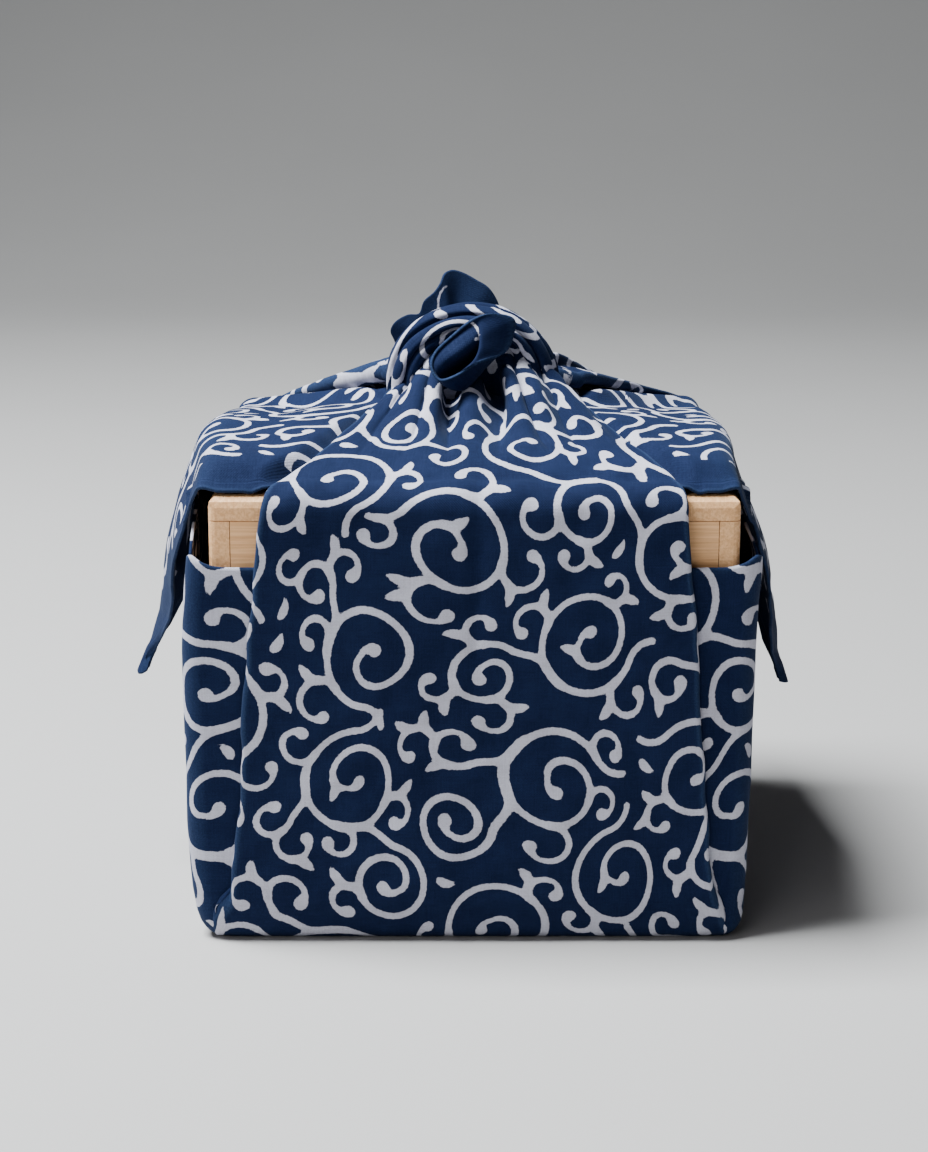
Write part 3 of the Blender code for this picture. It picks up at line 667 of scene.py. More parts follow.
def paint(field, points, half):
    """Lower the field to the signed distance from a vine, webbed softly into what is there."""
    points = points / CELL
    low = np.floor(points.min(axis=0)).astype(int) - SPAN - 1
    size = np.ceil(points.max(axis=0)).astype(int) + SPAN + 2 - low
    own = np.full(size[::-1], FAR)
    reach = np.arange(-SPAN, SPAN + 1)
    for (x, y), r in zip(points - low, half):
        column, row = round(x), round(y)
        away = np.hypot((reach + column - x)[None, :], (reach + row - y)[:, None]) * CELL - r
        spot = own[row - SPAN:row + SPAN + 1, column - SPAN:column + SPAN + 1]
        np.minimum(spot, away, out=spot)
    window = np.ix_((low[1] + np.arange(size[1])) % CELLS, (low[0] + np.arange(size[0])) % CELLS)
    there = field[window]
    share = np.clip(0.5 + 0.5 * (own - there) / WEB, 0, 1)
    field[window] = own + (there - own) * share - WEB * share * (1 - share)


def room_at(field, points):
    cells = np.round(points / CELL).astype(int) % CELLS
    return field[cells[..., 1], cells[..., 0]]


def leaf(start, heading, side):
    """A pointed leaf that bends to one side, and the places that have to be free round its tip."""
    points, headings = bent(start, heading, [(side * 58, 13.0, 10.0)], 0.6)
    share = np.linspace(0, 1, len(points))
    half = (1.5 + 0.8 * smooth(0.1, 0.6, share)) * np.clip((1 - share) / 0.4, 0.02, 1) ** 0.7
    past_tip = points[-1] + np.outer((1.5, 3.0), toward(headings[-1]))
    return points, headings, half, np.concatenate([points[-7::3], past_tip])


def offshoots():
    """Short branches that start at 0 and head along x: their strokes of points, headings and half
    widths, the places that have to be free and how free, how far from the next, and their worth."""
    made = []
    for side in (-1, 1):
        for radius in CURL_RADII:
            turns = [(side * 140, radius, radius), (side * 130, radius, 0.6 * radius)]
            points, headings = bent((0, 0), 0, turns)
            use = np.flatnonzero(np.abs(headings) > 0.6)[::3]
            near = np.minimum(6.0, 0.85 * np.abs(points[use, 1]) - 1.7)
            want = np.where(np.abs(headings[use]) > 1.9, 6.0, near)
            curl = (points, headings, with_bulb(np.full(len(points), VINE - 0.1)))
            made.append(([curl], points[use], want, CURL_APART, 4 + 0.5 * radius))
            fork = np.argmax(np.abs(headings) > 0.95)
            *tip, free = leaf(points[fork], headings[fork] - side * 0.2, -side)
            want = np.concatenate([want, np.full(len(free), 3.6)])
            free = np.concatenate([points[use], free])
            made.append(([curl, tip], free, want, CURL_APART, 8 + 0.5 * radius))
        *tip, free = leaf((0, 0), 0, side)
        made.append(([tip], free, np.full(len(free), 3.4), LEAF_APART, 3.0))
    return made


def turned(points, angle):
    c, s = math.cos(angle), math.sin(angle)
    return points @ np.array(((c, s), (-s, c)))


def fill(field, strands):
    """Add curls and leaves wherever they clear what is there, the best places first."""
    shapes = offshoots()
    stems = np.zeros((0, 2))
    for _ in range(FILL_ROUNDS):
        base = np.concatenate([points[4:-18:3] for points, _, _ in strands])
        heading = np.concatenate([headings[4:-18:3] for _, headings, _ in strands])
        c, s = np.cos(heading)[:, None], np.sin(heading)[:, None]
        found = []
        for kind, (_, feel, want, _, worth) in enumerate(shapes):
            x, y = feel.T
            places = base[:, None, :] + np.stack([c * x - s * y, s * x + c * y], axis=-1)
            room = room_at(field, places)
            good = np.flatnonzero((room - want).min(axis=1) > 0)
            value = room[good, -2:].mean(axis=1) + worth + draw.uniform(0, 4, len(good))
            found += [(v, kind, pick, places[pick], want) for v, pick in zip(value, good)]
        added = len(strands)
        for value, kind, pick, places, want in sorted(found, key=lambda one: -one[0]):
            near = np.hypot(*wrapped(stems - base[pick]).T).min() if len(stems) else FAR
            strokes, _, _, apart, _ = shapes[kind]
            if near < apart or (room_at(field, places) - want).min() <= 0:
                continue
            for points, headings, half in strokes:
                placed = base[pick] + turned(points, heading[pick])
                paint(field, placed, half)
                strands.append((placed, headings + heading[pick], half))
            stems = np.vstack([stems, base[pick]])
        if len(strands) == added:
            break


def fill_specks(field, rings):
    """A few loose leaves in the widest places between the scrolls."""
    y, x = np.mgrid[:CELLS, :CELLS] * CELL
    outside = np.full(field.shape, True)
    for ring in rings:
        outside &= np.hypot(wrapped(x - ring[0]), wrapped(y - ring[1])) > ring[2] + 2
    for _ in range(SPECKS):
        row, column = np.unravel_index(np.argmax(np.where(outside, field, 0)), field.shape)
        size = min(field[row, column] - SPECK_GAP, SPECK_SIZE[1])
        if size < SPECK_SIZE[0]:
            break
        points = bent((0, 0), 0, [(60, 1.9 * size, 1.9 * size)], step=0.6)[0]
        points = turned(points - points.mean(axis=0), draw.uniform(0, 2 * math.pi))
        share = np.linspace(0, 1, len(points))
        half = 0.1 + 2.1 * np.sin(math.pi * share**0.7)
        paint(field, points + np.array((column, row)) * CELL, half)


def vine_field():
    """The whole print, as its signed distance in each cell of the tile."""
    field = np.full((CELLS, CELLS), FAR)
    rings = packed_rings()
    strands = grown(rings)
    for points, _, half in strands:
        paint(field, points, half)
    fill(field, strands)
    fill_specks(field, rings)
    return field


VINE_FIELD = vine_field()
# How the drawn lines wander: millimetres, and waves along u and v
WARP = ((2.2, 3, 1), (1.6, -2, 3), (0.8, 5, 2))


def vine_distance(flat):
    """Signed distance in millimetres from the print's nearest line, on the flat cloth."""
    flat = flat / PRINT_SCALE
    u, v = flat[:, 0], flat[:, 1]
    turn = 2 * math.pi / TILE
    for size, across, along in WARP:
        wave = turn * (across * flat[:, 0] + along * flat[:, 1])
        u, v = u + size * np.sin(wave), v + size * np.cos(wave + 1.3)
    u, v = (u / CELL) % CELLS, (v / CELL) % CELLS
    column, row = np.floor(u).astype(int), np.floor(v).astype(int)
    a, b = u - column, v - row
    column, row = column % CELLS, row % CELLS
    right, up = (column + 1) % CELLS, (row + 1) % CELLS
    low = VINE_FIELD[row, column] * (1 - a) + VINE_FIELD[row, right] * a
    high = VINE_FIELD[up, column] * (1 - a) + VINE_FIELD[up, right] * a
    return PRINT_SCALE * (low * (1 - b) + high * b)


# Meshes

FAR_FROM_HEM = 99.0


def put_attribute(mesh, name, kind, values):
    key = "vector" if kind == "FLOAT_VECTOR" else "value"
    made = mesh.attributes.new(name, kind, "POINT")
    made.data.foreach_set(key, np.ascontiguousarray(values, dtype=np.float32).ravel())


def grid_normals(points, closed):
    wide = np.concatenate([points[:, -2:-1], points, points[:, 1:2]], axis=1) if closed else points
    across = np.gradient(wide, axis=1)
    if closed:
        across = across[:, 1:-1]
    normal = np.cross(across, np.gradient(points, axis=0))
    return normal / np.maximum(np.linalg.norm(normal, axis=-1, keepdims=True), 1e-12)


def cloth(
    name, points, flat, hem=FAR_FROM_HEM, wear_and_painted_light=0.0, lift=0.0, out=0.0, closed=False, flip=False,
    vine=None,
):
    """One layer of cloth as a closed mesh. points: rows by columns of its outer face; flat: their
    places on the flat cloth in millimetres; hem: distance from the nearest hem in millimetres;
    wear_and_painted_light: 0 to 1 where the dye has gone pale from wear, and where paler colour is
    painted in for light falling on it; lift: folds, in millimetres outwards; out: how far the outer
    face lies outside the points; closed: a tube, whose last column is its first; flip: the points
    run the other way round; vine: distance from the print, if not the repeat's."""
    rows, columns = points.shape[:2]
    side = -1.0 if flip else 1.0
    if np.any(lift):
        points = points + grid_normals(points, closed) * (side * np.asarray(lift) * MM)[..., None]
    normal = grid_normals(points, closed) * side
    layers = [points + normal * out, points + normal * (out - CLOTH)]
    if vine is None:
        vine = vine_distance(flat.reshape(-1, 2)).reshape(rows, columns)
    masks = [np.broadcast_to(mask, (rows, columns)) for mask in (vine, hem, wear_and_painted_light)]
    if closed:
        layers = [layer[:, :-1] for layer in layers]
        flat, masks = flat[:, :-1], [mask[:, :-1] for mask in masks]
    size = layers[0].shape[0] * layers[0].shape[1]
    at = np.arange(size).reshape(layers[0].shape[:2])
    if closed:
        at = np.concatenate([at, at[:, :1]], axis=1)
        edges = [at[0], at[-1][::-1]]
    else:
        edges = [np.concatenate([at[0], at[1:, -1], at[-1, -2::-1], at[-2::-1, 0]])]
    quads = np.stack([at[:-1, :-1], at[:-1, 1:], at[1:, 1:], at[1:, :-1]], axis=-1).reshape(-1, 4)
    ends = [(edge[:-1], edge[1:]) for edge in edges]
    rims = [np.stack([a, a + size, b + size, b], axis=-1) for a, b in ends]
    faces = np.concatenate([quads, quads[:, ::-1] + size] + rims)
    if flip:
        faces = faces[:, ::-1]
    places = np.concatenate([layer.reshape(-1, 3) for layer in layers])
    mesh = bpy.data.meshes.new(name)
    mesh.from_pydata(places.tolist(), [], faces.tolist())
    mesh.shade_smooth()
    flat = np.column_stack([flat.reshape(-1, 2), np.zeros(size)])
    put_attribute(mesh, "flat", "FLOAT_VECTOR", np.tile(flat, (2, 1)))
    for key, mask in zip(("vine", "hem", "wear_and_painted_light"), masks):
        put_attribute(mesh, key, "FLOAT", np.tile(mask.ravel(), 2))
    return add_object(name, mesh)


# Panels. Folds, puckers and wear are in millimetres, over places in millimetres.

PANEL_LENGTH = TURN_END + 96 * MM
FOOT_ROUND = 8.8 * MM
FOOT_MIDDLE = (108.1 * MM, 8.5 * MM)  # distance from the middle and height of the foot's centre
FOOT_END_ANGLE = 0.25
PANEL_AT = (0, 5, 13, 22, 32, 42, 52, 72, 82, 91, 110, 130, 150, 168, 185, 215)  # up the front
PANEL_LESS = (  # how much narrower the front panel is there, on its left and right
    (-4.9, -3.2, 0.6, 0.0, -1.2, -1.1, -0.2, 2.6, 2.4, 0.4, -1.2, -0.9, 1.6, 2.2, 2.2, 0.5),
    (2.0, 2.6, 4.6, 5.8, 6.5, 6.6, 6.6, 6.1, 5.5, 4.9, 4.6, 4.6, 4.6, 4.2, 5.2, 3.0),
)
NECK_RISE = 9.0 * MM
PLEATS = (  # across the panel: a valley, its depth, and the height of the ridge up to the next one
    (-1.3, 0.0, 1.0), (-1.0, 1.0, 4.0), (-0.72, 4.0, 6.5), (-0.46, 4.5, 8.5), (-0.19, 9.0, 9.5),
    (0.16, 7.5, 8.0), (0.40, 5.5, 8.0), (0.66, 4.0, 5.5), (1.0, 1.0, 1.0), (1.3, 0.0, 0.0),
)
# Unevenness as waves of height, wavelength and seed
EDGE_WANDER = ((0.9, 52, 11), (0.35, 17, 12))
PANEL_UNEVEN = ((0.42, 62, 21), (0.20, 26, 22), (0.07, 11, 23))
FRONT_PUCKERS = ((0.16, 52, 24), (0.15, 22, 25))
EDGE_PLACE = 40  # where the wander of the edges is read across the cloth
CREASE = (1.4, 4.0, 160, 42)  # up the front: depth, width, middle and reach
CREASE_LEAN = (1.5, 0.02, 170)  # its place across, how it leans, and from what height
CREASE_RIDGE = (0.6, -12, 9.0, 180, 35)  # beside it: height, place, width, middle and reach
BACK_FOLD_GROOVE = (3.0, 0.84, 0.045)
FOLD_WIDTH = 8
PANEL_PRINT = {False: (134, 35), True: (150, 190)}  # place on the print, of the front and the back


def pleats(across):
    """Rounded ridges with sharp valleys between them, in millimetres at the knot."""
    place, depth, height = np.array(PLEATS).T
    k = np.clip(np.searchsorted(place, across) - 1, 0, len(place) - 2)
    t = np.clip((across - place[k]) / (place[k + 1] - place[k]), 0.0, 1.0)
    return height[k] * np.sin(math.pi * t) ** 0.75 - np.interp(across, place, depth)


def under_foot(points, across, path, back):
    """The rows below a panel's foot follow the foot of the tub in under the base."""
    foot_angle = math.acos((FOOT_MIDDLE[1] - PANEL_FOOT) / FOOT_ROUND)
    angle = np.clip(foot_angle + path / FOOT_ROUND, FOOT_END_ANGLE, foot_angle)
    y = FOOT_MIDDLE[0] + FOOT_ROUND * np.sin(angle)
    z = np.maximum(FOOT_MIDDLE[1] - FOOT_ROUND * np.cos(angle), 0.1 * MM)
    first = FOOT_MIDDLE[0] + FOOT_ROUND * math.sin(foot_angle)
    share = (path < 0) * (1.0 - smooth(1.0, 1.8, np.abs(across)))
    moved = points.copy()
    moved[..., 1] += share * (y - first) * (1 if back else -1)
    moved[..., 2] += share * (z - PANEL_FOOT)
    return moved


def front_folds(lift, across, share, u, v):
    """Adds the front panel's puckers, pleats and middle crease to what its cloth has already."""
    lift = lift + uneven(u, v, FRONT_PUCKERS) * smooth(-4, 30, v)
    spread = across + 0.03 * np.sin(9 * across + 4 * share)
    lift = lift + pleats(spread) * smooth(0.03, 0.95, share) ** 1.1
    depth, width, middle, reach = CREASE
    place, lean, start = CREASE_LEAN
    lift = lift - depth * bump(place + lean * (v - start), width, u) * bump(middle, reach, v)
    height, place, width, middle, reach = CREASE_RIDGE
    return lift + height * bump(place, width, u) * bump(middle, reach, v)


def panel(name, back, columns, rows):
    """The front or back panel, from below the foot to the knot, with its folded side edges."""
    across = steps((-3, -2, 7), (-2, -1, 8), (-1, 1, columns), (1, 2, 8), (2, 3, 7))
    path = steps((-7 * MM, 0, 6), (0, PANEL_LENGTH, rows))
    a, p = np.meshgrid(across[::-1] if back else across, path)
    above = np.maximum(p, 0.0)
    points = under_foot(panel_point(a, above, back), a, p, back)
    face = np.clip(np.abs(a), 0, 1)
    share = np.clip((above - TURN_END) / TOP_RUN, 0.0, 1.2)
    u, v = points[..., 0] / MM * (1 + 0.8 * np.minimum(share, 1) ** 2), p / MM
    sign = np.where(a < 0, -1.0, 1.0)
    wander = uneven(v, sign * EDGE_PLACE, EDGE_WANDER)
    if not back:
        wander = wander - np.where(a < 0, *(np.interp(v, PANEL_AT, less) for less in PANEL_LESS))
    points[..., 0] += sign * wander * MM * smooth(0.4, 1.0, face)
    lift = uneven(u, v, PANEL_UNEVEN)
    lift = lift * (1 - 0.5 * smooth(0.0, 0.5, share)) * smooth(-4, 30, v) + 0.3 * smooth(12, 0, v)
    if back:
        points[..., 2] += back_rise(points[..., 0], points[..., 1])
        depth, place, width = BACK_FOLD_GROOVE
        lift = lift - depth * smooth(0.1, 0.6, share) * bump(place, width, np.abs(a))
    else:
        rise = NECK_RISE * (1 + 0.65 * bump(0.5, 0.28, face)) * (1 - 0.5 * smooth(0.75, 1.0, face))
        points[..., 2] += rise * smooth(0.35, 0.95, share)
        lift = front_folds(lift, a, share, u, v)
    wear_and_painted_light = 0.8 * smooth(0.985, 1.0, np.abs(a)) * (1 - smooth(1.3, 1.8, np.abs(a)))
    place_u, place_v = PANEL_PRINT[back]
    flat = np.stack([u + place_u, v + place_v], axis=-1)
    flat[..., 0] += np.maximum(np.abs(a) - 1, 0) * FOLD_WIDTH * sign
    inside = 1.0 - smooth(0.86, 0.985, np.abs(a))
    return cloth(name, points, flat, wear_and_painted_light=wear_and_painted_light, lift=lift * inside)


# Tub, side laps and flap

SIDE_LENGTH = 220.0
CORNER_LENGTH = 13.4
SIDE_STEP = SIDE_LENGTH + CORNER_LENGTH
BASE_REACH = 110  # millimetres of cloth from the middle of the base to its foot
FOOT_LENGTH = 8
BELLY_AT = (0, 5, 12, 22, 32, 52, 72, 92, 111, 130, 150, 165, 175)  # height in millimetres
BELLY = (  # and how far the left and right walls stand out there, in millimetres
    (0, 0.9, 3.2, 4.8, 5.3, 5.6, 4.7, 4.1, 3.4, 3.0, 2.0, 1.0, 0.0),
    (-1.5, -1.3, -0.2, 0.2, 0.4, 0.0, -0.2, -1.1, -1.4, -1.7, -1.2, 0.0, 0.0),
)
CORNER_HUMP = (3.0, -2.5, 6.5)  # height of the rim's rise at a corner, its place and width
SIDE_RIM_FALL = 5.0
WALL_UNEVEN = ((0.5, 70, 31), (0.22, 27, 32))
FLAP_UNEVEN = ((0.45, 48, 41), (0.2, 20, 42))
TUB_PRINT = (90, 60)
SIDE_LAP_PRINT = (60, 0)
FLAP_PRINT = {True: (300, 200), False: (120, 200)}  # of the left and the right half
SIDE_LAP_START = 16 * MM


def tub_half(name, start):
    """Half of the cloth under and round the box, from `start` on in sides of the box."""
    around = start + steps(
        (0.0, 0.25, 8), (0.25, 0.45, 30), (0.45, 0.55, 10), (0.55, 1.45, 140),
        (1.45, 1.55, 10), (1.55, 1.75, 30), (1.75, 2.0, 8),
    )
    share = steps((0.0, 0.9, 5), (0.9, 1.0, 3), (1.0, 2.0, 9), (2.0, 3.0, 104))
    a, s = np.meshgrid(around, share)
    points = tub_point(a, s)
    local = a - np.floor(a)
    odd = np.floor(a).astype(int) % 2 == 1
    straight = np.clip(local / RUN_SHARE, 0, 1)
    corner = np.clip((local - RUN_SHARE) / (1 - RUN_SHARE), 0, 1)
    u = np.floor(a) * SIDE_STEP + straight * SIDE_LENGTH + corner * CORNER_LENGTH
    v = np.where(s < 1, -(1 - s) * BASE_REACH, points[..., 2] / MM + FOOT_LENGTH)
    x, z = points[..., 0].copy(), points[..., 2] / MM
    belly = np.where(x < 0, *(np.interp(z, BELLY_AT, out) for out in BELLY)) * MM
    reach = np.abs(x) / side_wall_x(points[..., 2])
    points[..., 0] += np.sign(x) * belly * smooth(0.75, 1.0, reach)
    from_corner = (u - SIDE_LENGTH - 0.5 * CORNER_LENGTH + 0.5 * SIDE_STEP) % SIDE_STEP
    from_corner = from_corner - 0.5 * SIDE_STEP
    into_side = np.where(odd == (local < 0.45), from_corner, -from_corner)
    height, place, width = CORNER_HUMP
    rim = height * bump(place, width, into_side) - SIDE_RIM_FALL * smooth(-1, 11, into_side)
    points[..., 2] += rim * MM * smooth(2.85, 3.0, s)
    on_side = bump(0.45, 0.42, local) * odd
    lift = uneven(u, v, WALL_UNEVEN) * smooth(15, 50, v) * on_side
    lift = lift - 0.5 * on_side * smooth(20, 80, v)
    wear_and_painted_light = 0.35 * bump(0.5, 0.5, corner) * (corner > 0) + 0.3 * bump(4, 6, v)
    wear_and_painted_light = wear_and_painted_light + 0.5 * bump(3.0, 0.012, s)
    flat = np.stack([u + TUB_PRINT[0], v + TUB_PRINT[1]], axis=-1)
    return cloth(name, points, flat, wear_and_painted_light=wear_and_painted_light, lift=lift)


def side_lap(name, sign):
    """A side wall's cloth above the rim, in over the lid."""
    end = SIDE_TURN - SIDE_LAP_FOOT + SIDE_TURN_ROUND * math.pi / 2 + SIDE_REACH
    a, p = np.meshgrid(steps((-1, 1, 60)), steps((SIDE_LAP_START, end, 34)))
    points = side_lap_point(a, p, sign)
    flat = np.stack([points[..., 1] / MM + SIDE_LAP_PRINT[0], p / MM + SIDE_LAP_PRINT[1]], axis=-1)
    return cloth(name, points, flat)


def flap_half(name, left):
    """Half of the flap over the lid, with its hem and its hanging end."""
    reach = (FLAP_TURN_LEFT if left else FLAP_TURN_RIGHT) / MM
    hang = FLAP_HANG / MM
    end = reach + hang
    run = steps((0, reach, 72), (reach, end - 6, 88), (end - 6, end, 6)) * MM
    along = -run[::-1] if left else run
    across = steps((-1, -0.92, 10), (-0.92, 0.92, 130), (0.92, 1, 10))
    a, c = np.meshgrid(along, across)
    points = flap_point(a, c)
    drop = np.maximum(np.abs(a) / MM - reach, 0)
    half = np.abs(flap_point(a, np.sign(c + 1e-9))[..., 1]) / MM
    hem = (1 - np.abs(c)) * half * (1 - 0.35 * smooth(0, 60, drop))
    hem = np.minimum(hem, hang - drop)
    u, v = a / MM, points[..., 1] / MM
    lift = uneven(u, v, FLAP_UNEVEN) * smooth(0, 14, hem) + 0.35 * (1 - smooth(4.0, 5.5, hem))
    wear_and_painted_light = 0.5 * (1 - smooth(0.4, 2.0, hem)) + 0.25 * bump(0, 12, np.abs(a) / MM - reach - 6)
    place_u, place_v = FLAP_PRINT[left]
    flat = np.stack([u + place_u, v + place_v], axis=-1)
    return cloth(name, points, flat, hem=hem, wear_and_painted_light=wear_and_painted_light, lift=lift)


# Knot


def swept(path, radii, spin, lobes, depth, twist):
    """A gathered strand: a fluted tube on a smooth path. radii: half width and half thickness."""
    around, along = 97, 91
    t = np.linspace(0, len(path) - 1, along)
    middle, wide = looped(np.array(path, float), t), looped(np.array(radii, float), t)
    ahead = np.gradient(middle, axis=0)
    ahead /= np.linalg.norm(ahead, axis=1, keepdims=True)
    side = np.cross(ahead, (0.0, 1.0, 0.0))
    side /= np.linalg.norm(side, axis=1, keepdims=True)
    over = np.cross(side, ahead)
    a, s = np.meshgrid(np.linspace(0, 2 * math.pi, around), np.linspace(0, 1, along))
    wave = np.abs(np.sin(0.5 * lobes * (a + spin + twist * s) + 0.5 * np.sin(a + 3.0 * s)))
    flute = (1.0 - depth * (1.0 - wave) ** 2.2) * (1.0 + 0.035 * ripple(a * 12, s * 60, 18, 51))
    x = (np.cos(a) * flute * wide[:, 1:2])[..., None] * side[:, None, :]
    y = (np.sin(a) * flute * wide[:, 0:1])[..., None] * over[:, None, :]
    length = np.cumsum(np.linalg.norm(np.diff(middle, axis=0), axis=1))
    length = np.broadcast_to(np.concatenate([[0], length])[:, None], a.shape)
    return (middle[:, None, :] + x + y) * MM, np.stack([a * wide.mean() * 1.25, length], axis=-1)


STRANDS = {
    # name: path, half widths and half thicknesses, spin, lobes, depth, twist, place on the print
    "knot_over": (
        ((-27, -12, 216), (-30.5, -9, 226), (-30.5, -8, 237), (-26, -8, 247), (-16.5, -8, 254.6),
         (-6, -8, 258.6), (4, -8, 258.8), (14, -8, 255.8), (23, -7, 249), (28.5, -6, 240),
         (30.5, -5, 230), (29, -4, 216)),
        ((13, 9), (14, 9), (15, 9.2), (15.5, 9), (15.5, 8.4), (15.5, 7.8), (15.5, 7.6), (15, 7.8),
         (14.5, 8), (14, 8.4), (13.5, 8.6), (13, 8.6)),
        0.5, 6, 0.30, 0.9, (40, 10)),
    "knot_under": (
        ((-20, -12, 216), (-20, -16, 226), (-17, -18, 237), (-9, -17, 246), (1, -14, 250),
         (10, -10, 250)),
        ((8, 5), (9, 6), (9.5, 6.5), (9, 6), (8, 6), (6, 5)),
        1.3, 4, 0.28, -0.8, (140, 60)),
}


def knot_strand(name):
    *shape, place = STRANDS[name]
    points, flat = swept(*shape)
    return cloth(name, points, flat + place, closed=True, flip=True)


def knot_core():
    """The gathered cloth inside the knot."""
    a, s = np.meshgrid(np.linspace(0, 2 * math.pi, 81), np.linspace(0.04, 0.96, 41))
    tilt = (s - 0.5) * math.pi
    fold = 1.0 + 0.06 * np.cos(9 * a + 2 * s) + 0.03 * ripple(a * 10, s * 40, 20, 61)
    x, y = np.cos(a) * np.cos(tilt) * fold, np.sin(a) * np.cos(tilt) * fold
    points = np.stack([x, y, np.sin(tilt)], axis=-1) * np.array(CORE) + np.array(CORE_MIDDLE)
    return cloth("knot_core", points, np.stack([a * 25 + 10, s * 60], axis=-1), closed=True)


# The last lines of the print on the knot's two ends: x and z in millimetres, and half their width
FAN_VINE = ((-15.2, 255.0), (-16.2, 262.0), (-16.2, 267.0), (-15.2, 269.8), (-13.2, 271.8))
FAN_VINE_HALF = 0.45
HORN_VINE = ((-1.0, 260.5), (1.2, 258.0), (2.4, 254.5), (0.6, 253.6))
HORN_VINE_HALF = 0.6
HORN_PLAIN_FROM = 3.0  # round the horn, from where its other side stays plain
FAN_UNEVEN = ((0.5, 22, 71),)


def away_from(line, points):
    """Distance in millimetres, seen from the front, to a smooth line through x and z values."""
    line = looped(np.array(line), np.linspace(0, len(line) - 1, 40))
    return np.linalg.norm(points[..., None, ::2] / MM - line, axis=-1).min(axis=-1)


def front_tail():
    """The curled front end, its dye pale from wear along its hem."""
    rows = steps((0, 0.8, 40), (0.8, 1.0, 16))
    a, s = np.meshgrid(np.linspace(0, 2 * math.pi, 133), rows)
    points = front_tail_point(a, s)
    flat = np.stack([a * 12 + 30, s * 36 + 80], axis=-1)
    wear_and_painted_light = 0.9 * smooth(0.96, 1.0, s)
    vine = away_from(HORN_VINE, points) - HORN_VINE_HALF + 20 * (a > HORN_PLAIN_FROM)
    return cloth("front_tail", points, flat, wear_and_painted_light=wear_and_painted_light, out=CLOTH / 2, closed=True, vine=vine)


def back_tail():
    """The fan-shaped back end, with a few soft waves along its edge."""
    a, s = np.meshgrid(np.linspace(0, 1, 141), np.linspace(0.1, 1, 41))
    points = back_tail_point(a, s)
    lift = 1.0 * s * np.sin(2 * math.pi * (3.1 * a + 0.2)) + uneven(a * 80, s * 35, FAN_UNEVEN)
    # Painted light: the whole fan is painted paler to stand in for the light on it; the rise
    # towards its edge is wear along its hem.
    wear_and_painted_light = 0.34 + 0.3 * smooth(0.97, 1.0, s)
    flat = np.stack([a * 80 + 200, s * 40 + 20], axis=-1)
    vine = away_from(FAN_VINE, points) - FAN_VINE_HALF
    return cloth("back_tail", points, flat, wear_and_painted_light=wear_and_painted_light, lift=lift, out=CLOTH / 2, vine=vine)


# Shader groups, with flat places in millimetres

PRINT_BORDER = 17.0  # plain cloth along the hems
PRINT_SOFT = 0.16  # half the width of the print's soft edge
RAGGED_MIDDLE = 0.62
RING_WIDTH = 0.0045


def plug(tree, sockets, values):
    """Sets input sockets to values, or links them to other sockets."""
    for key, value in values.items():
        if isinstance(value, bpy.types.NodeSocket):
            tree.links.new(value, sockets[key])
        else:
            sockets[key].default_value = value


def node(tree, kind, inputs=None, **settings):
    """A node with its settings, and its inputs set to values or linked to other sockets."""
    made = tree.nodes.new("ShaderNode" + kind)
    for key, value in settings.items():
        setattr(made, key, value)
    plug(tree, made.inputs, inputs or {})
    return made


def math_node(tree, operation, a, b=0.0):
    return node(tree, "Math", {0: a, 1: b}, operation=operation).outputs[0]


def plus(tree, a, b):
    return math_node(tree, "ADD", a, b)


def times(tree, a, b):
    return math_node(tree, "MULTIPLY", a, b)


def scaled(tree, vector, scale, shift=(0.0, 0.0, 0.0)):
    return node(tree, "Mapping", {"Vector": vector, "Scale": scale, "Location": shift}).outputs[0]


def noise(tree, vector, scale, detail=2.0, rough=0.5):
    inputs = {"Vector": vector, "Scale": scale, "Detail": detail, "Roughness": rough}
    return node(tree, "TexNoise", inputs).outputs["Fac"]


def ramp(tree, value, low, high, to_low=0.0, to_high=1.0):
    """A smooth step from one value to another."""
    inputs = {"Value": value, "From Min": low, "From Max": high}
    inputs.update({"To Min": to_low, "To Max": to_high})
    return node(tree, "MapRange", inputs, interpolation_type="SMOOTHSTEP").outputs["Result"]


def blend(tree, share, a, b):
    """A mix of two colours."""
    return node(tree, "Mix", {0: share, 6: a, 7: b}, data_type="RGBA").outputs[2]


def group(name, inputs, outputs):
    """A new shader group: its tree, and from inside it what goes in and what comes out."""
    tree = bpy.data.node_groups.new(name, "ShaderNodeTree")
    for key, kind, value in inputs:
        socket = tree.interface.new_socket(key, in_out="INPUT", socket_type="NodeSocket" + kind)
        if value is not None:
            socket.default_value = value
    for key in outputs:
        tree.interface.new_socket(key, in_out="OUTPUT", socket_type="NodeSocketFloat")
    into, out = tree.nodes.new("NodeGroupInput"), tree.nodes.new("NodeGroupOutput")
    return tree, into.outputs, out.inputs


def weave_group():
    """Plain weave with slubby threads."""
    inputs = [("Flat", "Vector", None), ("Thread", "Float", 0.5)]
    tree, given, made = group("weave", inputs, ["Height", "Slub"])
    flat = given["Flat"]
    split = node(tree, "SeparateXYZ", {0: flat})
    turn = math_node(tree, "DIVIDE", math.pi, given["Thread"])
    across = math_node(tree, "SINE", times(tree, split.outputs[0], turn))
    along = math_node(tree, "SINE", times(tree, split.outputs[1], turn))
    cross = times(tree, across, along)
    warp = noise(tree, scaled(tree, flat, (1.6, 0.10, 1.0)), 1.0, 3.0)
    weft = noise(tree, scaled(tree, flat, (0.10, 1.6, 1.0), (5, 9, 0)), 1.0, 3.0)
    slub = times(tree, plus(tree, warp, weft), 0.5)
    height = plus(tree, times(tree, cross, 0.22), slub)
    plug(tree, made, {"Height": height, "Slub": slub})
    return tree


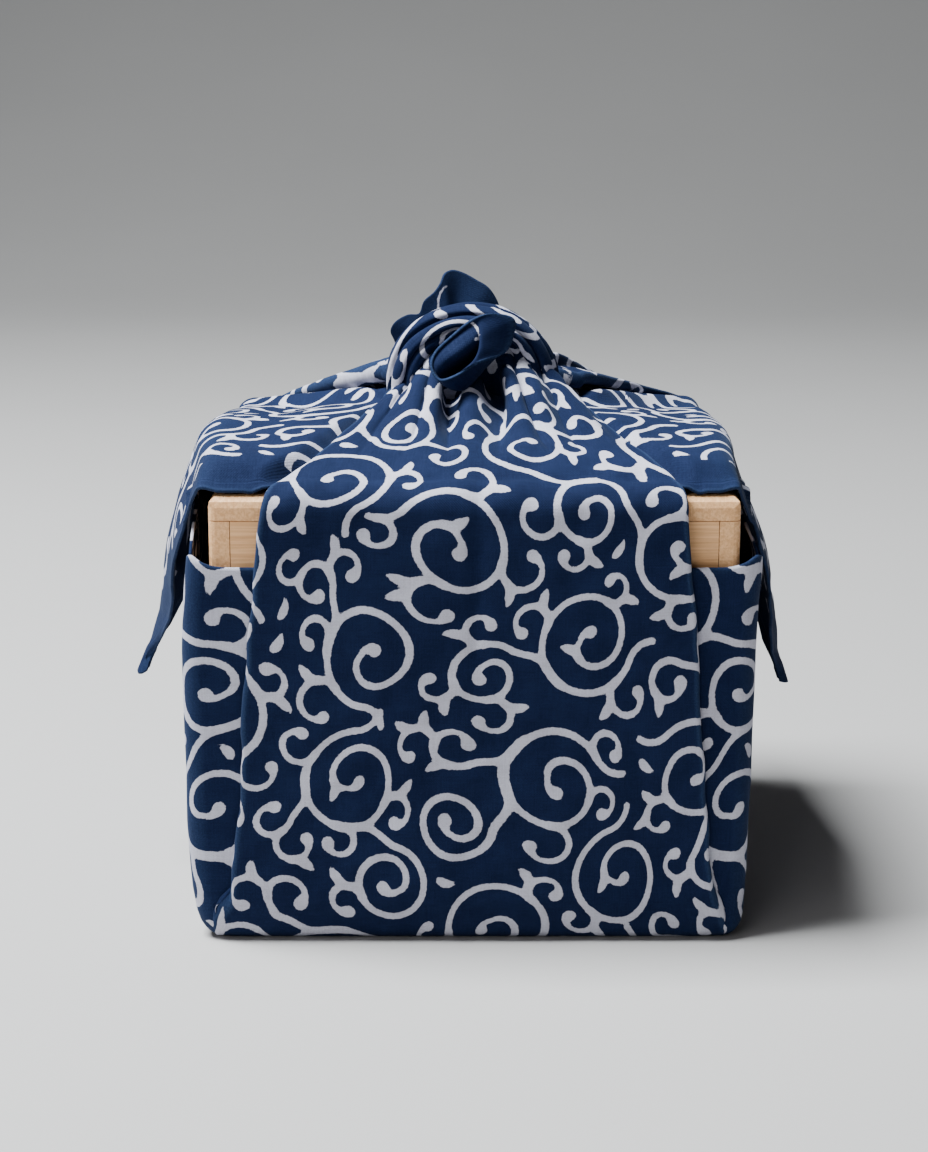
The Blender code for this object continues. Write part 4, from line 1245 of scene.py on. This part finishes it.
def print_group():
    """Where the pale print lies: inside the vines, short of the border, with a soft ragged edge."""
    inputs = [
        ("Flat", "Vector", None),
        ("Vine", "Float", 1.0),
        ("Hem", "Float", FAR_FROM_HEM),
        ("Border", "Float", PRINT_BORDER),
    ]
    tree, given, made = group("print", inputs, ["Mask"])
    rough = noise(tree, given["Flat"], 0.55, 3.0, 0.6)
    fine = noise(tree, given["Flat"], 2.2, 2.0, 0.6)
    ragged = plus(tree, times(tree, rough, 0.9), times(tree, fine, 0.35))
    border = math_node(tree, "SUBTRACT", given["Border"], given["Hem"])
    edge = math_node(tree, "MAXIMUM", given["Vine"], border)
    edge = plus(tree, edge, math_node(tree, "SUBTRACT", ragged, RAGGED_MIDDLE))
    plug(tree, made, {"Mask": ramp(tree, edge, PRINT_SOFT, -PRINT_SOFT)})
    return tree


def mottle_group():
    """Clouds and flecks of uneven dye, 0 to 1 about a middle of 0.5."""
    tree, given, made = group("mottle", [("Flat", "Vector", None)], ["Cloud", "Fleck"])
    flat = given["Flat"]
    broad = noise(tree, flat, 0.022, 2.0)
    middle = noise(tree, flat, 0.12, 4.0, 0.65)
    cloud = plus(tree, times(tree, broad, 0.5), times(tree, middle, 0.5))
    plug(tree, made, {"Cloud": cloud, "Fleck": noise(tree, flat, 1.3, 4.0, 0.75)})
    return tree


def wood_group():
    """Pale wood in the round, grain along x, in metres: growth rings, fibres and pores."""
    inputs = [("Place", "Vector", None), ("Ring", "Float", RING_WIDTH)]
    tree, given, made = group("wood", inputs, ["Rings", "Fibre", "Pore"])
    place = given["Place"]
    bend = noise(tree, scaled(tree, place, (6.0, 30.0, 30.0)), 1.0, 2.0)
    split = node(tree, "SeparateXYZ", {0: place})
    away = math_node(tree, "POWER", split.outputs[1], 2.0)
    away = plus(tree, away, math_node(tree, "POWER", split.outputs[2], 2.0))
    radius = math_node(tree, "SQRT", away)
    radius = plus(tree, radius, times(tree, bend, 0.006))
    saw = math_node(tree, "FRACT", math_node(tree, "DIVIDE", radius, given["Ring"]))
    rings = math_node(tree, "POWER", saw, 3.0)
    fibre = noise(tree, scaled(tree, place, (18.0, 900.0, 900.0)), 1.0, 4.0, 0.6)
    pore = noise(tree, scaled(tree, place, (120.0, 2600.0, 2600.0)), 1.0, 2.0, 0.6)
    plug(tree, made, {"Rings": rings, "Fibre": fibre, "Pore": ramp(tree, pore, 0.62, 0.74)})
    return tree


WEAVE, PRINT, MOTTLE, WOOD = weave_group(), print_group(), mottle_group(), wood_group()


# Materials

INDIGO_DEEP = (0.0014, 0.0054, 0.026, 1)
INDIGO_LIGHT = (0.0044, 0.0128, 0.051, 1)
# Pale blue of dye gone thin from wear, also used as painted light on the knot's fan.
INDIGO_WORN_AND_LIT = (0.045, 0.085, 0.18, 1)
PRINT_PALE = (0.58, 0.585, 0.67, 1)
PRINT_DULL = (0.40, 0.39, 0.455, 1)
WOOD_PALE = (0.90, 0.53, 0.255, 1)
WOOD_WARM = (0.70, 0.36, 0.15, 1)
WOOD_DARK = (0.36, 0.18, 0.08, 1)
THREAD = 0.55  # width of a thread, in millimetres
WEAR_AND_LIGHT_SHARE = 0.55
STITCH_FROM_HEM = 4.2  # place of the sewing line, half its width and its depth
STITCH_HALF = 0.7
STITCH_DEEP = 1.2
PRINT_STANDS = 0.12
COTTON_SHEEN = {
    "Sheen Weight": 0.055,
    "Sheen Roughness": 0.45,
    "Sheen Tint": (0.45, 0.63, 1.0, 1),
    "Specular IOR Level": 0.12,
}
RING_SHARE = 0.45


def material(name, roughness):
    made = bpy.data.materials.new(name)
    made.use_nodes = True
    tree = made.node_tree
    shader = tree.nodes["Principled BSDF"]
    shader.inputs["Roughness"].default_value = roughness
    return made, tree, shader


def placed(tree, source, **inputs):
    """What comes out of a shader group that is placed in a material."""
    return node(tree, "Group", inputs, node_tree=source).outputs


def bumped(tree, height, strength, distance):
    inputs = {"Height": height, "Strength": strength, "Distance": distance}
    return node(tree, "Bump", inputs).outputs["Normal"]


def printed_cotton():
    """Indigo cotton with a pale print, uneven dye, edges pale from wear, paler colour painted in
    for light, a stitched hem and a weave.
    """
    made, tree, shader = material("printed_cotton", 0.86)
    keys = ("flat", "vine", "hem", "wear_and_painted_light")
    flat, *masks = (node(tree, "Attribute", attribute_name=key).outputs for key in keys)
    flat, (vine, hem, wear_and_painted_light) = flat["Vector"], (mask["Fac"] for mask in masks)
    weave = placed(tree, WEAVE, Flat=flat, Thread=THREAD)
    mottle = placed(tree, MOTTLE, Flat=flat)
    mask = placed(tree, PRINT, Flat=flat, Vine=vine, Hem=hem)["Mask"]
    cloud = ramp(tree, mottle["Cloud"], 0.36, 0.64)
    fleck = ramp(tree, mottle["Fleck"], 0.38, 0.66)
    slub = ramp(tree, weave["Slub"], 0.36, 0.64)
    dye = times(tree, plus(tree, plus(tree, cloud, fleck), slub), 0.333)
    indigo = blend(tree, dye, INDIGO_DEEP, INDIGO_LIGHT)
    # Paler where the dye has gone thin from wear, and where paler colour is painted in for light,
    # as on the knot's fan.
    rubbed_and_lit = times(tree, wear_and_painted_light, ramp(tree, mottle["Fleck"], 0.35, 0.75, 0.25, 1.0))
    indigo = blend(tree, times(tree, rubbed_and_lit, WEAR_AND_LIGHT_SHARE), indigo, INDIGO_WORN_AND_LIT)
    pale = blend(tree, dye, PRINT_DULL, PRINT_PALE)
    colour = blend(tree, mask, indigo, pale)
    stitch = math_node(tree, "ABSOLUTE", math_node(tree, "SUBTRACT", hem, STITCH_FROM_HEM))
    groove = ramp(tree, stitch, 0.0, STITCH_HALF, -STITCH_DEEP, 0.0)
    height = plus(tree, weave["Height"], times(tree, mottle["Fleck"], 0.5))
    height = plus(tree, height, groove)
    height = plus(tree, height, times(tree, mask, PRINT_STANDS))
    normal = bumped(tree, height, 0.55, 0.00035)
    rough = ramp(tree, dye, 0.0, 1.0, 0.92, 0.78)
    plug(tree, shader.inputs, {"Base Color": colour, "Normal": normal, "Roughness": rough})
    plug(tree, shader.inputs, COTTON_SHEEN)
    return made


def pale_wood(name, turn, pith, dark):
    """turn: rotation that brings the grain to x; pith: place of the tree's middle, in metres;
    dark: how much the pores show."""
    made, tree, shader = material(name, 0.62)
    place = node(tree, "TexCoord").outputs["Object"]
    place = node(tree, "Mapping", {"Vector": place, "Location": pith, "Rotation": turn}).outputs[0]
    wood = placed(tree, WOOD, Place=place)
    tone = blend(tree, ramp(tree, wood["Fibre"], 0.35, 0.65), WOOD_WARM, WOOD_PALE)
    tone = blend(tree, times(tree, wood["Rings"], RING_SHARE), tone, WOOD_WARM)
    tone = blend(tree, times(tree, wood["Pore"], dark), tone, WOOD_DARK)
    height = math_node(tree, "SUBTRACT", wood["Fibre"], times(tree, wood["Pore"], 0.8))
    normal = bumped(tree, height, 0.4, 0.0003)
    rough = ramp(tree, wood["Fibre"], 0.3, 0.7, 0.7, 0.52)
    plug(tree, shader.inputs, {"Base Color": tone, "Normal": normal, "Roughness": rough})
    return made


# Pieces

cotton = printed_cotton()
pieces = [
    panel("front_panel", False, 170, 216),
    panel("back_panel", True, 130, 180),
    tub_half("tub_right", 0.45),
    tub_half("tub_left", 2.45),
    side_lap("side_lap_left", -1),
    side_lap("side_lap_right", 1),
    flap_half("flap_left", True),
    flap_half("flap_right", False),
    knot_core(),
    knot_strand("knot_over"),
    knot_strand("knot_under"),
    front_tail(),
    back_tail(),
]
for piece in pieces:
    piece.data.materials.append(cotton)
    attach(piece, "root")
    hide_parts("furoshiki")

across_grain = pale_wood("wood_along_depth", (0, 0, math.radians(90)), (0.03, 0.05, 0.02), 0.55)
along_grain = pale_wood("wood_along_width", (0, 0, 0), (0.0, 0.09, -0.31), 0.25)
BOARDS = {
    "box_lid": across_grain,
    "box_side_left": across_grain,
    "box_side_right": across_grain,
    "box_front": along_grain,
    "box_back": along_grain,
    "box_bottom": along_grain,
}
for name, wood in BOARDS.items():
    bpy.data.objects[name].material_slots[0].material = wood


# Studio, in metres

LIGHTS = (  # name, place, size, power, colour
    ("key", (-0.90, -0.08, 2.1), 1.0, 200.0, (0.93, 0.97, 1.0)),
    ("fill", (-0.9, -1.7, 1.1), 1.2, 9.0, (0.97, 0.97, 1.0)),
)
LIGHT_AIM = (0, 0, 0.12)
COVE = ((-3.5, 0.0), (2.2, 0.0), (4.6, 2.6))  # y and z: floor, start and end of the rising curve
COVE_STEPS = 25
COVE_TOP = 5.0
COVE_HALF = 5.0  # half its width
FLOOR_DARK = (0.43, 0.42, 0.41, 1)
FLOOR_PALE = (0.46, 0.45, 0.44, 1)
ROOM_COLOUR = (0.93, 0.95, 1.0, 1)
ROOM_STRENGTH = 0.05


def add_floor():
    """A pale paper floor that curves up into the wall behind."""
    mesh = bpy.data.meshes.new("floor")
    turn = np.linspace(0, 0.5 * math.pi, COVE_STEPS)
    (front, low), (start, _), (wall, high) = COVE
    y = np.concatenate([[front], start + (wall - start) * np.sin(turn), [wall]])
    z = np.concatenate([[low], high * (1 - np.cos(turn)), [COVE_TOP]])
    edge = [[(side * COVE_HALF, b, c) for b, c in zip(y, z)] for side in (-1, 1)]
    count = len(y)
    quads = [(k, k + count, k + count + 1, k + 1) for k in range(count - 1)]
    mesh.from_pydata(edge[0] + edge[1], [], quads)
    mesh.shade_smooth()
    floor = add_object("floor", mesh)
    paper, tree, shader = material("floor_paper", 0.9)
    place = node(tree, "TexCoord").outputs["Object"]
    tone = blend(tree, noise(tree, place, 3.0, 4.0), FLOOR_DARK, FLOOR_PALE)
    tree.links.new(tone, shader.inputs["Base Color"])
    mesh.materials.append(paper)


def add_lights():
    """The key light, the fill light and the room's own soft light."""
    for name, at, size, power, colour in LIGHTS:
        light = bpy.data.lights.new(name, "AREA")
        light.size, light.energy, light.color = size, power, colour
        made = add_object(name, light)
        made.location = at
        made.rotation_euler = (Vector(LIGHT_AIM) - Vector(at)).to_track_quat("-Z", "Y").to_euler()
    world = bpy.data.worlds.new("studio")
    bpy.context.scene.world = world
    world.use_nodes = True
    background = world.node_tree.nodes["Background"]
    background.inputs["Color"].default_value = ROOM_COLOUR
    background.inputs["Strength"].default_value = ROOM_STRENGTH


add_floor()
add_lights()
